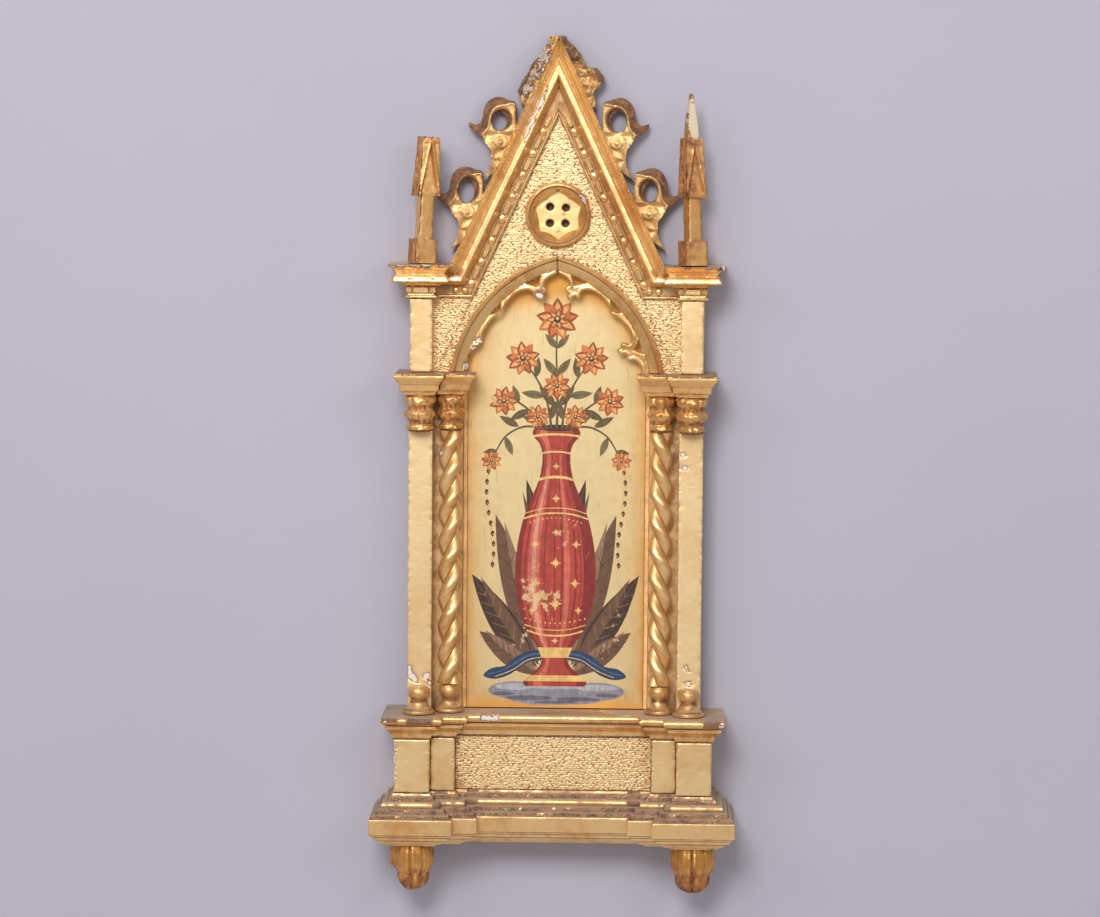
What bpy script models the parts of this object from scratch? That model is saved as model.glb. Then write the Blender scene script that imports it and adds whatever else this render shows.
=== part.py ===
"""A carved and gilt Gothic wall plaque: a gabled frame of boards, mouldings, pilasters and
twisted columns round a painted panel. The origin is on the flat back, where it hangs on the
wall. X is to the right, the front faces -Y, Z is up, and all sizes are in metres."""

import math

import bmesh
import bpy
from mathutils import Matrix, Vector, noise

# Clearance between neighbouring pieces, and the place of the hanging point above the feet
GAP = 0.0003
HANG_HEIGHT = 0.390

# Heights of the storeys, from the feet up
FOOT_HEIGHT = 0.0276
PLINTH_HEIGHT = 0.0302
PEDESTAL_HEIGHT = 0.0313
SILL_HEIGHT = 0.0133
BASE_HEIGHT = 0.0161
COLUMN_HEIGHT = 0.1484
BELL_HEIGHT = 0.0213
ABACUS_HEIGHT = 0.0121
UPPER_STRIP_HEIGHT = 0.0426
MOULDING_WIDTH = 0.0196

# Boards
BACK_BOARD_THICKNESS = 0.0050
FRONT_BOARD_THICKNESS = 0.0097
PANEL_THICKNESS = 0.0026

# Pedestals and the stippled panel between them
PREDELLA_SET_BACK = 0.0041
PREDELLA_DEPTH = 0.0265
INNER_PEDESTAL_WIDTH = 0.0140
INNER_PEDESTAL_DEPTH = 0.0345
OUTER_PEDESTAL_WIDTH = 0.0206
OUTER_PEDESTAL_DEPTH = 0.0425
SILL_PROJECTION = 0.0077
PLINTH_PROJECTION = 0.0138

# Pilasters, upper strips and columns
PILASTER_SPACING = 0.0174
PILASTER_WIDTH = 0.0141
PILASTER_THICKNESS = 0.0117
UPPER_STRIP_WIDTH = 0.0130
COLUMN_INSET = 0.0018
COLUMN_STRAND_RADIUS = 0.0042
COLUMN_STRAND_OFFSET = 0.00285
COLUMN_PITCH = 0.0330
COLUMN_CLEARANCE = 0.0002
OUTER_BELL_RADIUS = 0.0090
OUTER_BELL_STAND_OFF = 0.0047
INNER_BELL_RADIUS = 0.0073
ABACUS_REVEAL = 0.00175
ABACUS_PROJECTION = 0.0057
OUTER_BASE_RADIUS = 0.0092
INNER_BASE_RADIUS = 0.0084

# Gable and cornice
GABLE_CLEARANCE = 0.0034
GABLE_ANGLE = math.radians(25.0)
MOULDING_PROJECTION = 0.0126
BILLET_PITCH = 0.0139
BEAD_RADIUS = 0.0026
BEAD_HEIGHT = 0.0018
BILLET_LENGTH = 0.0078
BILLET_WIDTH = 0.0022
BILLET_HEIGHT = 0.0012
DENTIL_WIDTH = 0.0090
DENTIL_DEPTH = 0.0018
DENTIL_HEIGHT = 0.0036

# Arch: each half is an arc struck from a centre beyond the middle line
ARCH_RADIUS = 0.0834
ARCH_CENTRE_OFFSET = 0.0205
ARCH_SPRING_DROP = 0.0127
ARCH_MOULDING_WIDTH = 0.0084
ARCH_PROJECTION = 0.0062
CUSP_LENGTH = 0.0120
CUSP_LOBE_RADIUS = 0.0023
CUSP_LOBE_SPREAD = 0.0013
EYELET_SIZE = 0.0034

# Roundel
ROUNDEL_CLEARANCE = 0.0043
ROUNDEL_RADIUS = 0.0190
ROUNDEL_BORE_RADIUS = 0.0152
ROUNDEL_PROJECTION = 0.0036
ROUNDEL_SINK = 0.0039
ROUNDEL_LIP = 0.0012
ROUNDEL_PLATE_THICKNESS = 0.0018
ROUNDEL_STAR_RADIUS = 0.0138
ROUNDEL_HOLE_RADIUS = 0.00235
ROUNDEL_HOLE_SPACING = 0.0092

# Crockets, and the stubs of the lost top pair
CROCKET_CLEARANCE = 0.0009
CROCKET_FOOT_CLEARANCE = 0.0077
CROCKET_STAND_OFF = 0.0105
CROCKET_SIZE = 0.0137
CROCKET_LENGTH = 3.20
CROCKET_TAIL = 2.47
CROCKET_THICKNESS = 0.0100
STUB_THICKNESS = 0.0090

# Breaks in the edge of each rake, and how far down the rake they are
CHIP_DEPTH = 0.0032
CHIP_DOWN_LEFT = 0.0270
CHIP_DOWN_RIGHT = 0.0300
CHIP_LENGTH_LEFT = 0.0300
CHIP_LENGTH_RIGHT = 0.0140

# Pinnacles
PINNACLE_TURN = math.radians(22.0)
PINNACLE_BLOCK_WIDTH = 0.01385
PINNACLE_BLOCK_HEIGHT = 0.0121
PINNACLE_SHAFT_WIDTH = 0.0085
PINNACLE_SHAFT_HEIGHT = 0.0241
PINNACLE_HEAD_WIDTH = 0.0132
PINNACLE_HEAD_HEIGHT = 0.0345
PINNACLE_HEAD_TAPER = 0.80
PINNACLE_RIB = 0.0016
SPIRE_WIDTH = 0.0076
SPIRE_HEIGHT = 0.0256

# Feet
FOOT_RADIUS = 0.0121
FOOT_DEPTH = 0.0330

# Derived levels
FOOT_BOTTOM = -HANG_HEIGHT
PLINTH_BOTTOM = FOOT_BOTTOM + FOOT_HEIGHT + GAP
PLINTH_TOP = PLINTH_BOTTOM + PLINTH_HEIGHT
PEDESTAL_BOTTOM = PLINTH_TOP + GAP
PEDESTAL_TOP = PEDESTAL_BOTTOM + PEDESTAL_HEIGHT
SILL_BOTTOM = PEDESTAL_TOP + GAP
SILL_TOP = SILL_BOTTOM + SILL_HEIGHT
BASE_BOTTOM = SILL_TOP + GAP
BASE_TOP = BASE_BOTTOM + BASE_HEIGHT
COLUMN_BOTTOM = BASE_TOP + GAP
COLUMN_TOP = COLUMN_BOTTOM + COLUMN_HEIGHT
BELL_BOTTOM = COLUMN_TOP + GAP
ABACUS_BOTTOM = BELL_BOTTOM + BELL_HEIGHT
ABACUS_TOP = ABACUS_BOTTOM + ABACUS_HEIGHT
STRIP_BOTTOM = ABACUS_TOP + GAP
STRIP_TOP = STRIP_BOTTOM + UPPER_STRIP_HEIGHT
CORNICE_BOTTOM = STRIP_TOP + GAP
CORNICE_TOP = CORNICE_BOTTOM + MOULDING_WIDTH
PINNACLE_BOTTOM = CORNICE_TOP + GAP

# Derived depths, as places along Y, and widths. The columns stand under the arch's springing
BOARD_FACE = -(BACK_BOARD_THICKNESS + GAP + FRONT_BOARD_THICKNESS)
GROUND = BOARD_FACE - GAP
PILASTER_FACE = GROUND - PILASTER_THICKNESS
COLUMN_CENTRE = ARCH_RADIUS - ARCH_CENTRE_OFFSET - COLUMN_INSET
PILASTER_CENTRE = COLUMN_CENTRE + PILASTER_SPACING
PREDELLA_HALF_WIDTH = COLUMN_CENTRE - PREDELLA_SET_BACK
COLUMN_REACH = max(INNER_BELL_RADIUS, COLUMN_STRAND_RADIUS + COLUMN_STRAND_OFFSET)
BOARD_HALF_WIDTH = PILASTER_CENTRE + PILASTER_WIDTH / 2
STRIP_INNER = PILASTER_CENTRE - UPPER_STRIP_WIDTH / 2
STRIP_OUTER = PILASTER_CENTRE + UPPER_STRIP_WIDTH / 2
COLUMN_Y = GROUND - COLUMN_REACH - COLUMN_CLEARANCE
OUTER_BELL_Y = PILASTER_FACE - GAP - OUTER_BELL_STAND_OFF
INNER_PEDESTAL_START = PREDELLA_HALF_WIDTH + GAP
INNER_PEDESTAL_END = INNER_PEDESTAL_START + INNER_PEDESTAL_WIDTH
OUTER_PEDESTAL_START = INNER_PEDESTAL_END + GAP
OUTER_PEDESTAL_END = OUTER_PEDESTAL_START + OUTER_PEDESTAL_WIDTH
OUTER_PEDESTAL_CENTRE = (OUTER_PEDESTAL_START + OUTER_PEDESTAL_END) / 2
ABACUS_HALF = PILASTER_WIDTH / 2 + ABACUS_REVEAL

# Derived places on the gable, whose rake stands clear of the arch
ARCH_CENTRE_Z = ABACUS_TOP - ARCH_SPRING_DROP
GABLE_REACH = ARCH_RADIUS + GABLE_CLEARANCE
GABLE_REACH += (ARCH_CENTRE_Z - CORNICE_BOTTOM) * math.sin(GABLE_ANGLE)
GABLE_CORNER = GABLE_REACH / math.cos(GABLE_ANGLE) - ARCH_CENTRE_OFFSET
GABLE_APEX = CORNICE_BOTTOM + GABLE_CORNER / math.tan(GABLE_ANGLE)
GABLE_OUTER_APEX = GABLE_APEX + MOULDING_WIDTH / math.sin(GABLE_ANGLE)
CORNER_SPREAD = math.tan((math.pi / 2 - GABLE_ANGLE) / 2)
ARCH_CROWN = ARCH_CENTRE_Z + math.sqrt(ARCH_RADIUS ** 2 - ARCH_CENTRE_OFFSET ** 2)
ROUNDEL_Z = ARCH_CROWN + ROUNDEL_CLEARANCE + ROUNDEL_RADIUS
RAKE_LENGTH = (GABLE_OUTER_APEX - CORNICE_TOP) / math.cos(GABLE_ANGLE)
CROCKET_LOWER = RAKE_LENGTH - CROCKET_FOOT_CLEARANCE - CROCKET_SIZE * CROCKET_TAIL
CROCKET_UPPER = CROCKET_LOWER - CROCKET_SIZE * CROCKET_LENGTH - CROCKET_CLEARANCE
STUB_LENGTH = CROCKET_UPPER - CROCKET_SIZE

# Shares (height, projection) of each moulding's profile, bottom to top
SILL_PROFILE = (
    (0.00, 0.10), (0.06, 0.12), (0.20, 0.20), (0.34, 0.36), (0.44, 0.56), (0.46, 0.64),
    (0.58, 0.68), (0.60, 0.58), (0.66, 0.60), (0.68, 0.86), (0.76, 0.98), (0.86, 1.00),
    (0.95, 0.93), (1.00, 0.78),
)
PLINTH_PROFILE = (
    (0.00, 0.09), (0.08, 0.34), (0.10, 0.70), (0.14, 0.76), (0.17, 1.00), (0.49, 1.00),
    (0.505, 0.89), (0.58, 0.87), (0.595, 0.70), (0.69, 0.67), (0.70, 0.42), (0.765, 0.48),
    (0.83, 0.40), (0.84, 0.19), (0.93, 0.16), (0.94, 0.06), (1.00, 0.05),
)
ABACUS_PROFILE = (
    (0.00, 0.06), (0.17, 0.22), (0.20, 0.40), (0.50, 0.44), (0.54, 0.58), (0.72, 0.84),
    (0.83, 1.00), (1.00, 0.97),
)
GABLE_PROFILE = (
    (0.00, 0.20), (0.08, 0.22), (0.10, 0.10), (0.18, 0.10), (0.30, 0.24), (0.42, 0.54),
    (0.45, 0.60), (0.51, 0.77), (0.60, 0.83), (0.69, 0.78), (0.74, 0.62), (0.79, 0.62),
    (0.85, 0.88), (0.88, 1.00), (1.00, 1.00),
)
ARCH_PROFILE = (
    (0.00, 0.00), (0.00, 0.76), (0.14, 1.00), (0.30, 0.88), (0.38, 0.58), (1.00, 0.45),
)

GOLD = (0.72, 0.50, 0.20)
PALE_GOLD = (0.78, 0.62, 0.32)
WARM_GOLD = (0.60, 0.36, 0.12)
BARE_WOOD = (0.32, 0.19, 0.11)

for old in list(bpy.data.objects):
    bpy.data.objects.remove(old, do_unlink=True)
bpy.context.scene.unit_settings.system = "METRIC"


def new_collection(name):
    made = bpy.data.collections.new(name)
    bpy.context.scene.collection.children.link(made)
    return made


PARTS = new_collection("gilt_wall_plaque")
CUTTERS = new_collection("cutters")


def finish(obj, colour, roughness=0.38, metallic=0.85):
    """Gives a part its own Principled material."""
    made = bpy.data.materials.new(obj.name)
    made.use_nodes = True
    shader = made.node_tree.nodes["Principled BSDF"]
    shader.inputs["Base Color"].default_value = (*colour, 1)
    shader.inputs["Roughness"].default_value = roughness
    shader.inputs["Metallic"].default_value = metallic
    made.diffuse_color = (*colour, 1)
    obj.data.materials.clear()
    obj.data.materials.append(made)


def place(name, mesh, helper=False):
    """Makes a mesh an object, among the parts or among the cutters."""
    obj = bpy.data.objects.new(name, mesh)
    (CUTTERS if helper else PARTS).objects.link(obj)
    if helper:
        obj.hide_render = True
        obj.display_type = "WIRE"
    return obj


def from_bmesh(name, shape, helper=False):
    bmesh.ops.recalc_face_normals(shape, faces=shape.faces)
    mesh = bpy.data.meshes.new(name)
    shape.to_mesh(mesh)
    shape.free()
    return place(name, mesh, helper)


def loft(name, rings, helper=False):
    """A closed solid through rings of as many points each, capped at both ends."""
    shape = bmesh.new()
    rows = [[shape.verts.new(point) for point in ring] for ring in rings]
    count = len(rows[0])
    for row, following in zip(rows, rows[1:]):
        for i in range(count):
            j = (i + 1) % count
            shape.faces.new((row[i], row[j], following[j], following[i]))
    shape.faces.new(rows[0][::-1])
    shape.faces.new(rows[-1])
    return from_bmesh(name, shape, helper)


def box(name, low, high, helper=False):
    shape = bmesh.new()
    bmesh.ops.create_cube(shape, size=1.0)
    size = Vector(high) - Vector(low)
    middle = (Vector(high) + Vector(low)) / 2
    bmesh.ops.scale(shape, vec=size, verts=shape.verts)
    bmesh.ops.translate(shape, vec=middle, verts=shape.verts)
    return from_bmesh(name, shape, helper)


def side_box(name, side, near, far, front, back, bottom, top, helper=False):
    """A box whose X range is given away from the middle line, on the left or the right."""
    ends = sorted((side * near, side * far))
    return box(name, (ends[0], front, bottom), (ends[1], back, top), helper)


def combine(obj, other, operation):
    modifier = obj.modifiers.new(f"{operation.lower()} {other.name}", "BOOLEAN")
    modifier.operation = operation
    modifier.object = other
    modifier.solver = "EXACT"


def flat_piece(name, outlines, front, back, helper=False, rounding=0.0):
    """A plate parallel to the wall: outlines of (x, z), the first one outside, the rest holes."""
    curve = bpy.data.curves.new(name, "CURVE")
    curve.dimensions = "2D"
    curve.fill_mode = "BOTH"
    curve.extrude = abs(back - front) / 2 - rounding
    curve.bevel_depth = rounding
    curve.bevel_resolution = 0
    curve.offset = -rounding
    for outline in outlines:
        spline = curve.splines.new("POLY")
        spline.points.add(len(outline) - 1)
        for point, (x, z) in zip(spline.points, outline):
            point.co = (x, z, 0, 1)
        spline.use_cyclic_u = True
    drawn = bpy.data.objects.new(f"{name}_outline", curve)
    drawn.rotation_euler = (math.pi / 2, 0, 0)
    drawn.location = (0, (front + back) / 2, 0)
    bpy.context.scene.collection.objects.link(drawn)
    bpy.context.view_layer.update()
    evaluated = drawn.evaluated_get(bpy.context.evaluated_depsgraph_get())
    mesh = bpy.data.meshes.new_from_object(evaluated)
    mesh.transform(drawn.matrix_world)
    bpy.data.objects.remove(drawn, do_unlink=True)
    shape = bmesh.new()
    shape.from_mesh(mesh)
    bmesh.ops.remove_doubles(shape, verts=shape.verts, dist=0.000002)
    return from_bmesh(name, shape, helper)


def scaled(profile, height, projection, bottom=0.0):
    """A profile of shares as real (height, projection) pairs."""
    return [(bottom + share * height, out * projection) for share, out in profile]


def moulded_block(name, outline, profile, side=1, grow=0.0, helper=False):
    """A block whose plan steps out with its profile. Each corner of the plan is
    (x, y, step in x, step in y), and a side of -1 makes the left-hand block."""
    levels = list(profile)
    if grow:
        low, high = levels[0], levels[-1]
        levels = [(low[0] - grow, low[1])] + levels + [(high[0] + grow, high[1])]
    rings = []
    for z, out in levels:
        step = out + grow
        rings.append([(side * (x + dx * step), y + dy * step, z) for x, y, dx, dy in outline])
    return loft(name, rings, helper)


def turned(name, profile, centre, steps=20, axis="Z"):
    """A turned piece: (radius, height) pairs down its outer side, spun by a Screw modifier."""
    mesh = bpy.data.meshes.new(name)
    points = [(radius, 0, height) for radius, height in profile]
    mesh.from_pydata(points, [(i, i + 1) for i in range(len(points) - 1)], [])
    obj = place(name, mesh)
    obj.location = centre
    if axis == "Y":
        obj.rotation_euler = (math.pi / 2, 0, 0)
    screw = obj.modifiers.new("turn", "SCREW")
    screw.axis = "Z"
    screw.steps = steps
    screw.render_steps = steps
    screw.use_merge_vertices = True
    screw.merge_threshold = 0.00001
    screw.use_smooth_shade = True
    return obj


def arc(centre, radius, start, end, steps):
    """Points (x, z) along a circular arc, with both ends."""
    points = []
    for i in range(steps + 1):
        angle = start + (end - start) * i / steps
        x = centre[0] + radius * math.cos(angle)
        z = centre[1] + radius * math.sin(angle)
        points.append((x, z))
    return points


SIDES = {"left": -1, "right": 1}


# Boards

def board_outline():
    """The stepped and gabled outline that both boards share."""
    shoulder = CORNICE_BOTTOM - GAP
    notch = STRIP_INNER - GAP
    head = CORNICE_TOP - GAP
    rake_foot = (GABLE_OUTER_APEX - CORNICE_TOP) * math.tan(GABLE_ANGLE)
    half = [
        (BOARD_HALF_WIDTH, BASE_BOTTOM),
        (BOARD_HALF_WIDTH, shoulder),
        (notch, shoulder),
        (notch, head),
        (rake_foot - GAP, head),
    ]
    apex = (0.0, GABLE_OUTER_APEX - GAP / math.sin(GABLE_ANGLE))
    return half + [apex] + [(-x, z) for x, z in reversed(half)]


def opening_outline(inset=0.0):
    """The pointed opening of the front board, smaller all round by the inset."""
    radius = ARCH_RADIUS - ARCH_MOULDING_WIDTH - inset
    apex_angle = math.acos(ARCH_CENTRE_OFFSET / radius)
    right = arc((-ARCH_CENTRE_OFFSET, ARCH_CENTRE_Z), radius, 0.0, apex_angle, 14)
    jamb = [(radius - ARCH_CENTRE_OFFSET, BASE_BOTTOM + inset + GAP)]
    half = jamb + right[:-1]
    return half + [(0.0, right[-1][1])] + [(-x, z) for x, z in reversed(half)]


def front_board_outline():
    """The board's outline runs up one side of the opening, which is open at the sill."""
    outer = board_outline()
    opening = opening_outline()
    opening[0] = (opening[0][0], BASE_BOTTOM)
    opening[-1] = (opening[-1][0], BASE_BOTTOM)
    return outer + opening[::-1]


back_board = flat_piece("back_board", [board_outline()], -BACK_BOARD_THICKNESS, 0.0)
finish(back_board, BARE_WOOD, 0.7, 0.0)
bore = arc((0.0, ROUNDEL_Z), ROUNDEL_BORE_RADIUS + GAP, 0.0, 2 * math.pi, 24)[:-1]
front_board = flat_piece(
    "front_board", [front_board_outline(), bore], BOARD_FACE, -BACK_BOARD_THICKNESS - GAP
)
finish(front_board, GOLD)
painted_panel = flat_piece(
    "painted_panel",
    [opening_outline(GAP)],
    -BACK_BOARD_THICKNESS - GAP - PANEL_THICKNESS,
    -BACK_BOARD_THICKNESS - GAP,
)
finish(painted_panel, PALE_GOLD)


# Arch halves: a bead and cove moulding with a cusped plate inside it

# Shares (place from springing to apex, reach of the plate); the left half lost its low cusp
TRACERY = {
    1: (
        (0.00, 0.34), (0.07, 0.42), (0.13, 0.60), (0.165, 0.95), (0.21, 0.95), (0.24, 0.46),
        (0.29, 0.26), (0.36, 0.20), (0.44, 0.24), (0.485, 0.37), (0.52, 0.37), (0.56, 0.22),
        (0.64, 0.14), (0.72, 0.20), (0.765, 0.50), (0.79, 0.90), (0.835, 0.90), (0.86, 0.42),
        (0.92, 0.20), (1.00, 0.12),
    ),
    -1: (
        (0.00, 0.02), (0.14, 0.05), (0.24, 0.32), (0.30, 0.22), (0.42, 0.18), (0.485, 0.30),
        (0.52, 0.30), (0.56, 0.18), (0.64, 0.10), (0.72, 0.16), (0.765, 0.50), (0.79, 0.80),
        (0.835, 0.80), (0.86, 0.42), (0.92, 0.20), (1.00, 0.12),
    ),
}


def tracery_depth(share, side):
    """How far the cusped plate reaches in from the moulding."""
    keys = TRACERY[side]
    for (low, first), (high, second) in zip(keys, keys[1:]):
        if share <= high:
            along = (share - low) / (high - low)
            return CUSP_LENGTH * (first + (second - first) * along)
    return CUSP_LENGTH * keys[-1][1]


def arch_point(inset, share, out, side):
    """A point of the arch at this distance in from its outer edge."""
    radius = ARCH_RADIUS - inset
    start = math.asin((STRIP_BOTTOM - ARCH_CENTRE_Z) / radius)
    end = math.acos((ARCH_CENTRE_OFFSET + GAP / 2) / radius)
    angle = start + (end - start) * share
    x = radius * math.cos(angle) - ARCH_CENTRE_OFFSET
    return (side * x, GROUND - out, ARCH_CENTRE_Z + radius * math.sin(angle))


def arch_half(name, side, steps=29):
    plate = ARCH_PROFILE[-1][1] * ARCH_PROJECTION
    rings = []
    for i in range(steps + 1):
        share = i / steps
        ring = []
        for across, out in ARCH_PROFILE:
            inset = across * ARCH_MOULDING_WIDTH
            ring.append(arch_point(inset, share, out * ARCH_PROJECTION, side))
        edge = ARCH_MOULDING_WIDTH + tracery_depth(share, side)
        ring.append(arch_point(edge, share, plate, side))
        ring.append(arch_point(edge, share, 0.0, side))
        rings.append(ring)
    obj = loft(name, rings)
    finish(obj, GOLD)
    return obj


# Where each long cusp and each eyelet stands along the arch
CUSP_SHARES = {1: (0.1875, 0.8125), -1: (0.8125,)}
EYELET_SHARES = {1: (0.19, 0.50, 0.80), -1: (0.50, 0.80)}


def cusp_lobes(name, side):
    """Three small round lobes at the tip of each long cusp."""
    shape = bmesh.new()
    plate = ARCH_PROFILE[-1][1] * ARCH_PROJECTION
    turn = Matrix.Rotation(math.pi / 2, 4, "X")
    spread = CUSP_LOBE_SPREAD / ARCH_RADIUS
    lobes = ((-spread, 0.78, 0.88), (0.0, 1.0, 0.76), (spread, 0.78, 0.82))
    for share in CUSP_SHARES[side]:
        for along, deeper, thick in lobes:
            inset = ARCH_MOULDING_WIDTH + CUSP_LENGTH * deeper
            x, _, z = arch_point(inset, share + along, 0.0, side)
            thickness = plate * thick
            middle = Matrix.Translation((x, GROUND - plate / 2, z))
            bmesh.ops.create_cone(
                shape, cap_ends=True, segments=8, radius1=CUSP_LOBE_RADIUS,
                radius2=CUSP_LOBE_RADIUS * 0.75, depth=thickness, matrix=middle @ turn,
            )
    return from_bmesh(name, shape, helper=True)


def eyelet_cutter(name, side):
    """Three-cornered holes through the plate, at the root of each cusp."""
    rings = bmesh.new()
    for share in EYELET_SHARES[side]:
        corners = ((0.10, -0.9), (0.10, 0.9), (0.95, 0.0))
        points = []
        for deep, wide in corners:
            inset = ARCH_MOULDING_WIDTH * 0.90 + EYELET_SIZE * deep
            points.append(arch_point(inset, share + wide * EYELET_SIZE / ARCH_RADIUS, 0.0, side))
        front = [rings.verts.new((x, GROUND - ARCH_PROJECTION, z)) for x, _, z in points]
        back = [rings.verts.new((x, GROUND + ARCH_PROJECTION, z)) for x, _, z in points]
        rings.faces.new(front)
        rings.faces.new(back[::-1])
        for i in range(3):
            j = (i + 1) % 3
            rings.faces.new((front[i], back[i], back[j], front[j]))
    return from_bmesh(name, rings, helper=True)


for word, side in SIDES.items():
    half = arch_half(f"arch_{word}", side)
    combine(half, cusp_lobes(f"cusp_lobes_{word}", side), "UNION")
    half.modifiers[-1].use_self = True
    combine(half, eyelet_cutter(f"eyelets_{word}", side), "DIFFERENCE")


# Cornice blocks, which wrap the same moulding round the heads of the upper strips

GABLE_LEVELS = scaled(GABLE_PROFILE, MOULDING_WIDTH, MOULDING_PROJECTION, CORNICE_BOTTOM)


def cornice_outline():
    return (
        (STRIP_OUTER, 0.0, 1, 0),
        (STRIP_OUTER, PILASTER_FACE, 1, -1),
        (STRIP_INNER, PILASTER_FACE, -1, -1),
        (STRIP_INNER, GROUND, -1, 0),
        (STRIP_INNER, GROUND, 0, 0),
        (STRIP_INNER, 0.0, 0, 0),
    )


def dentils(name, side):
    """The raised block in the middle of the cornice's cove, and the two at its corners."""
    shape = bmesh.new()
    middle = CORNICE_BOTTOM + MOULDING_WIDTH * 0.24
    front = PILASTER_FACE - MOULDING_PROJECTION * 0.16
    corner = 0.4
    places = (
        (STRIP_INNER - DENTIL_DEPTH / 2, corner), (PILASTER_CENTRE, 1.0),
        (STRIP_OUTER + DENTIL_DEPTH / 2, corner),
    )
    for x, share in places:
        made = bmesh.ops.create_cube(shape, size=1.0)
        size = (DENTIL_WIDTH * share, DENTIL_DEPTH * 2, DENTIL_HEIGHT)
        bmesh.ops.scale(shape, vec=size, verts=made["verts"])
        bmesh.ops.translate(shape, vec=(side * x, front, middle), verts=made["verts"])
    return from_bmesh(name, shape, helper=True)


for word, side in SIDES.items():
    block = moulded_block(f"cornice_{word}", cornice_outline(), GABLE_LEVELS, side)
    combine(block, dentils(f"dentils_{word}", side), "UNION")
    finish(block, GOLD)


# Gable mouldings: a short level return, then the rake up to the mitred apex

def rake_path(across, side):
    """The three corners of the line at this distance out from the moulding's inner edge."""
    level = CORNICE_BOTTOM + across
    corner = GABLE_CORNER + across * CORNER_SPREAD
    top = GABLE_APEX + across / math.sin(GABLE_ANGLE) - GAP / 2 / math.tan(GABLE_ANGLE)
    return (
        (side * (STRIP_INNER + MOULDING_PROJECTION), level),
        (side * corner, level),
        (side * GAP / 2, top),
    )


def enrichment(name, side):
    """Beads and billets by turns along the cove of the rake."""
    shape = bmesh.new()
    across = MOULDING_WIDTH * 0.25
    _, low, high = rake_path(across, side)
    run = Vector((high[0] - low[0], high[1] - low[1]))
    along = run.normalized()
    lean = math.atan2(along.x, along.y)
    root = GROUND - GAP
    cove = MOULDING_PROJECTION * 0.18 - GAP
    for i in range(int(run.length // BILLET_PITCH)):
        bead = Vector(low) + along * BILLET_PITCH * (i + 0.30)
        billet = Vector(low) + along * BILLET_PITCH * (i + 0.80)
        depth = cove + BEAD_HEIGHT
        dome = Matrix.Translation((bead.x, root - depth / 2, bead.y))
        bmesh.ops.create_cone(
            shape, cap_ends=True, segments=6, radius1=BEAD_RADIUS, radius2=BEAD_RADIUS * 0.5,
            depth=depth, matrix=dome @ Matrix.Rotation(math.pi / 2, 4, "X"),
        )
        depth = cove + BILLET_HEIGHT
        bar = Matrix.Translation((billet.x, root - depth / 2, billet.y))
        bar = bar @ Matrix.Rotation(lean, 4, "Y")
        bar = bar @ Matrix.Diagonal((BILLET_WIDTH, depth, BILLET_LENGTH, 1))
        bmesh.ops.create_cube(shape, size=1.0, matrix=bar)
    return from_bmesh(name, shape, helper=True)


def chip_cutter(name, place_at, size, lean):
    """An uneven lump that takes a chip out of an edge."""
    shape = bmesh.new()
    bmesh.ops.create_icosphere(shape, subdivisions=1, radius=1.0)
    move = Matrix.Translation(place_at) @ Matrix.Rotation(lean, 4, "Y")
    for vert in shape.verts:
        rough = 1.0 + 0.28 * noise.noise(vert.co * 2.3)
        vert.co = move @ (vert.co * rough * Vector(size))
    return from_bmesh(name, shape, helper=True)


def gable_moulding(name, side):
    rings = [[], [], []]
    for across, out in GABLE_PROFILE:
        line = rake_path(across * MOULDING_WIDTH, side)
        for ring, (x, z) in zip(rings, line):
            ring.append((x, GROUND - out * MOULDING_PROJECTION, z))
    for across in (1.0, 0.0):
        line = rake_path(across * MOULDING_WIDTH, side)
        for ring, (x, z) in zip(rings, line):
            ring.append((x, GROUND, z))
    return loft(name, rings)


for word, side in SIDES.items():
    rake = gable_moulding(f"gable_moulding_{word}", side)
    combine(rake, enrichment(f"enrichment_{word}", side), "UNION")
    room = moulded_block(
        f"cornice_room_{word}", cornice_outline(), GABLE_LEVELS, side, GAP, helper=True
    )
    combine(rake, room, "DIFFERENCE")
    finish(rake, GOLD)


def rake_place(down, away, side):
    """The point this far down the outer edge of the rake and this far off it."""
    x = down * math.sin(GABLE_ANGLE) + away * math.cos(GABLE_ANGLE)
    z = GABLE_OUTER_APEX - down * math.cos(GABLE_ANGLE) + away * math.sin(GABLE_ANGLE)
    return side * x, z


# The edge of the left rake broke away below the apex, and a little of the right one
CHIPS = {
    "left": (CHIP_DOWN_LEFT, CHIP_LENGTH_LEFT), "right": (CHIP_DOWN_RIGHT, CHIP_LENGTH_RIGHT)
}
for word, side in SIDES.items():
    down, length = CHIPS[word]
    x, z = rake_place(down, CHIP_DEPTH * 0.2, side)
    chip = chip_cutter(
        f"chip_{word}", (x, GROUND - MOULDING_PROJECTION * 0.9, z),
        (CHIP_DEPTH, MOULDING_PROJECTION * 0.7, length / 2), -side * GABLE_ANGLE,
    )
    combine(bpy.data.objects[f"gable_moulding_{word}"], chip, "DIFFERENCE")


# Crockets: curled leaves that stand on the rakes, and the stubs of the lost top pair

CROCKET_OUTER = (
    (0.72, 0.10), (0.70, 0.42), (0.66, 0.76), (0.34, 0.90), (0.02, 1.00), (-0.32, 0.92),
    (-0.60, 0.64), (-0.71, 0.22), (-0.80, -0.08), (-1.05, -0.20), (-1.28, -0.08),
    (-1.22, -0.36), (-0.98, -0.56), (-0.70, -0.62), (-0.58, -0.84), (-0.34, -1.24),
    (-0.31, -1.62), (-0.40, -2.00), (-0.62, -2.44), (0.10, -1.90), (0.80, -0.40),
)
CROCKET_HOLE = (0.32, 0.40)


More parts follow.
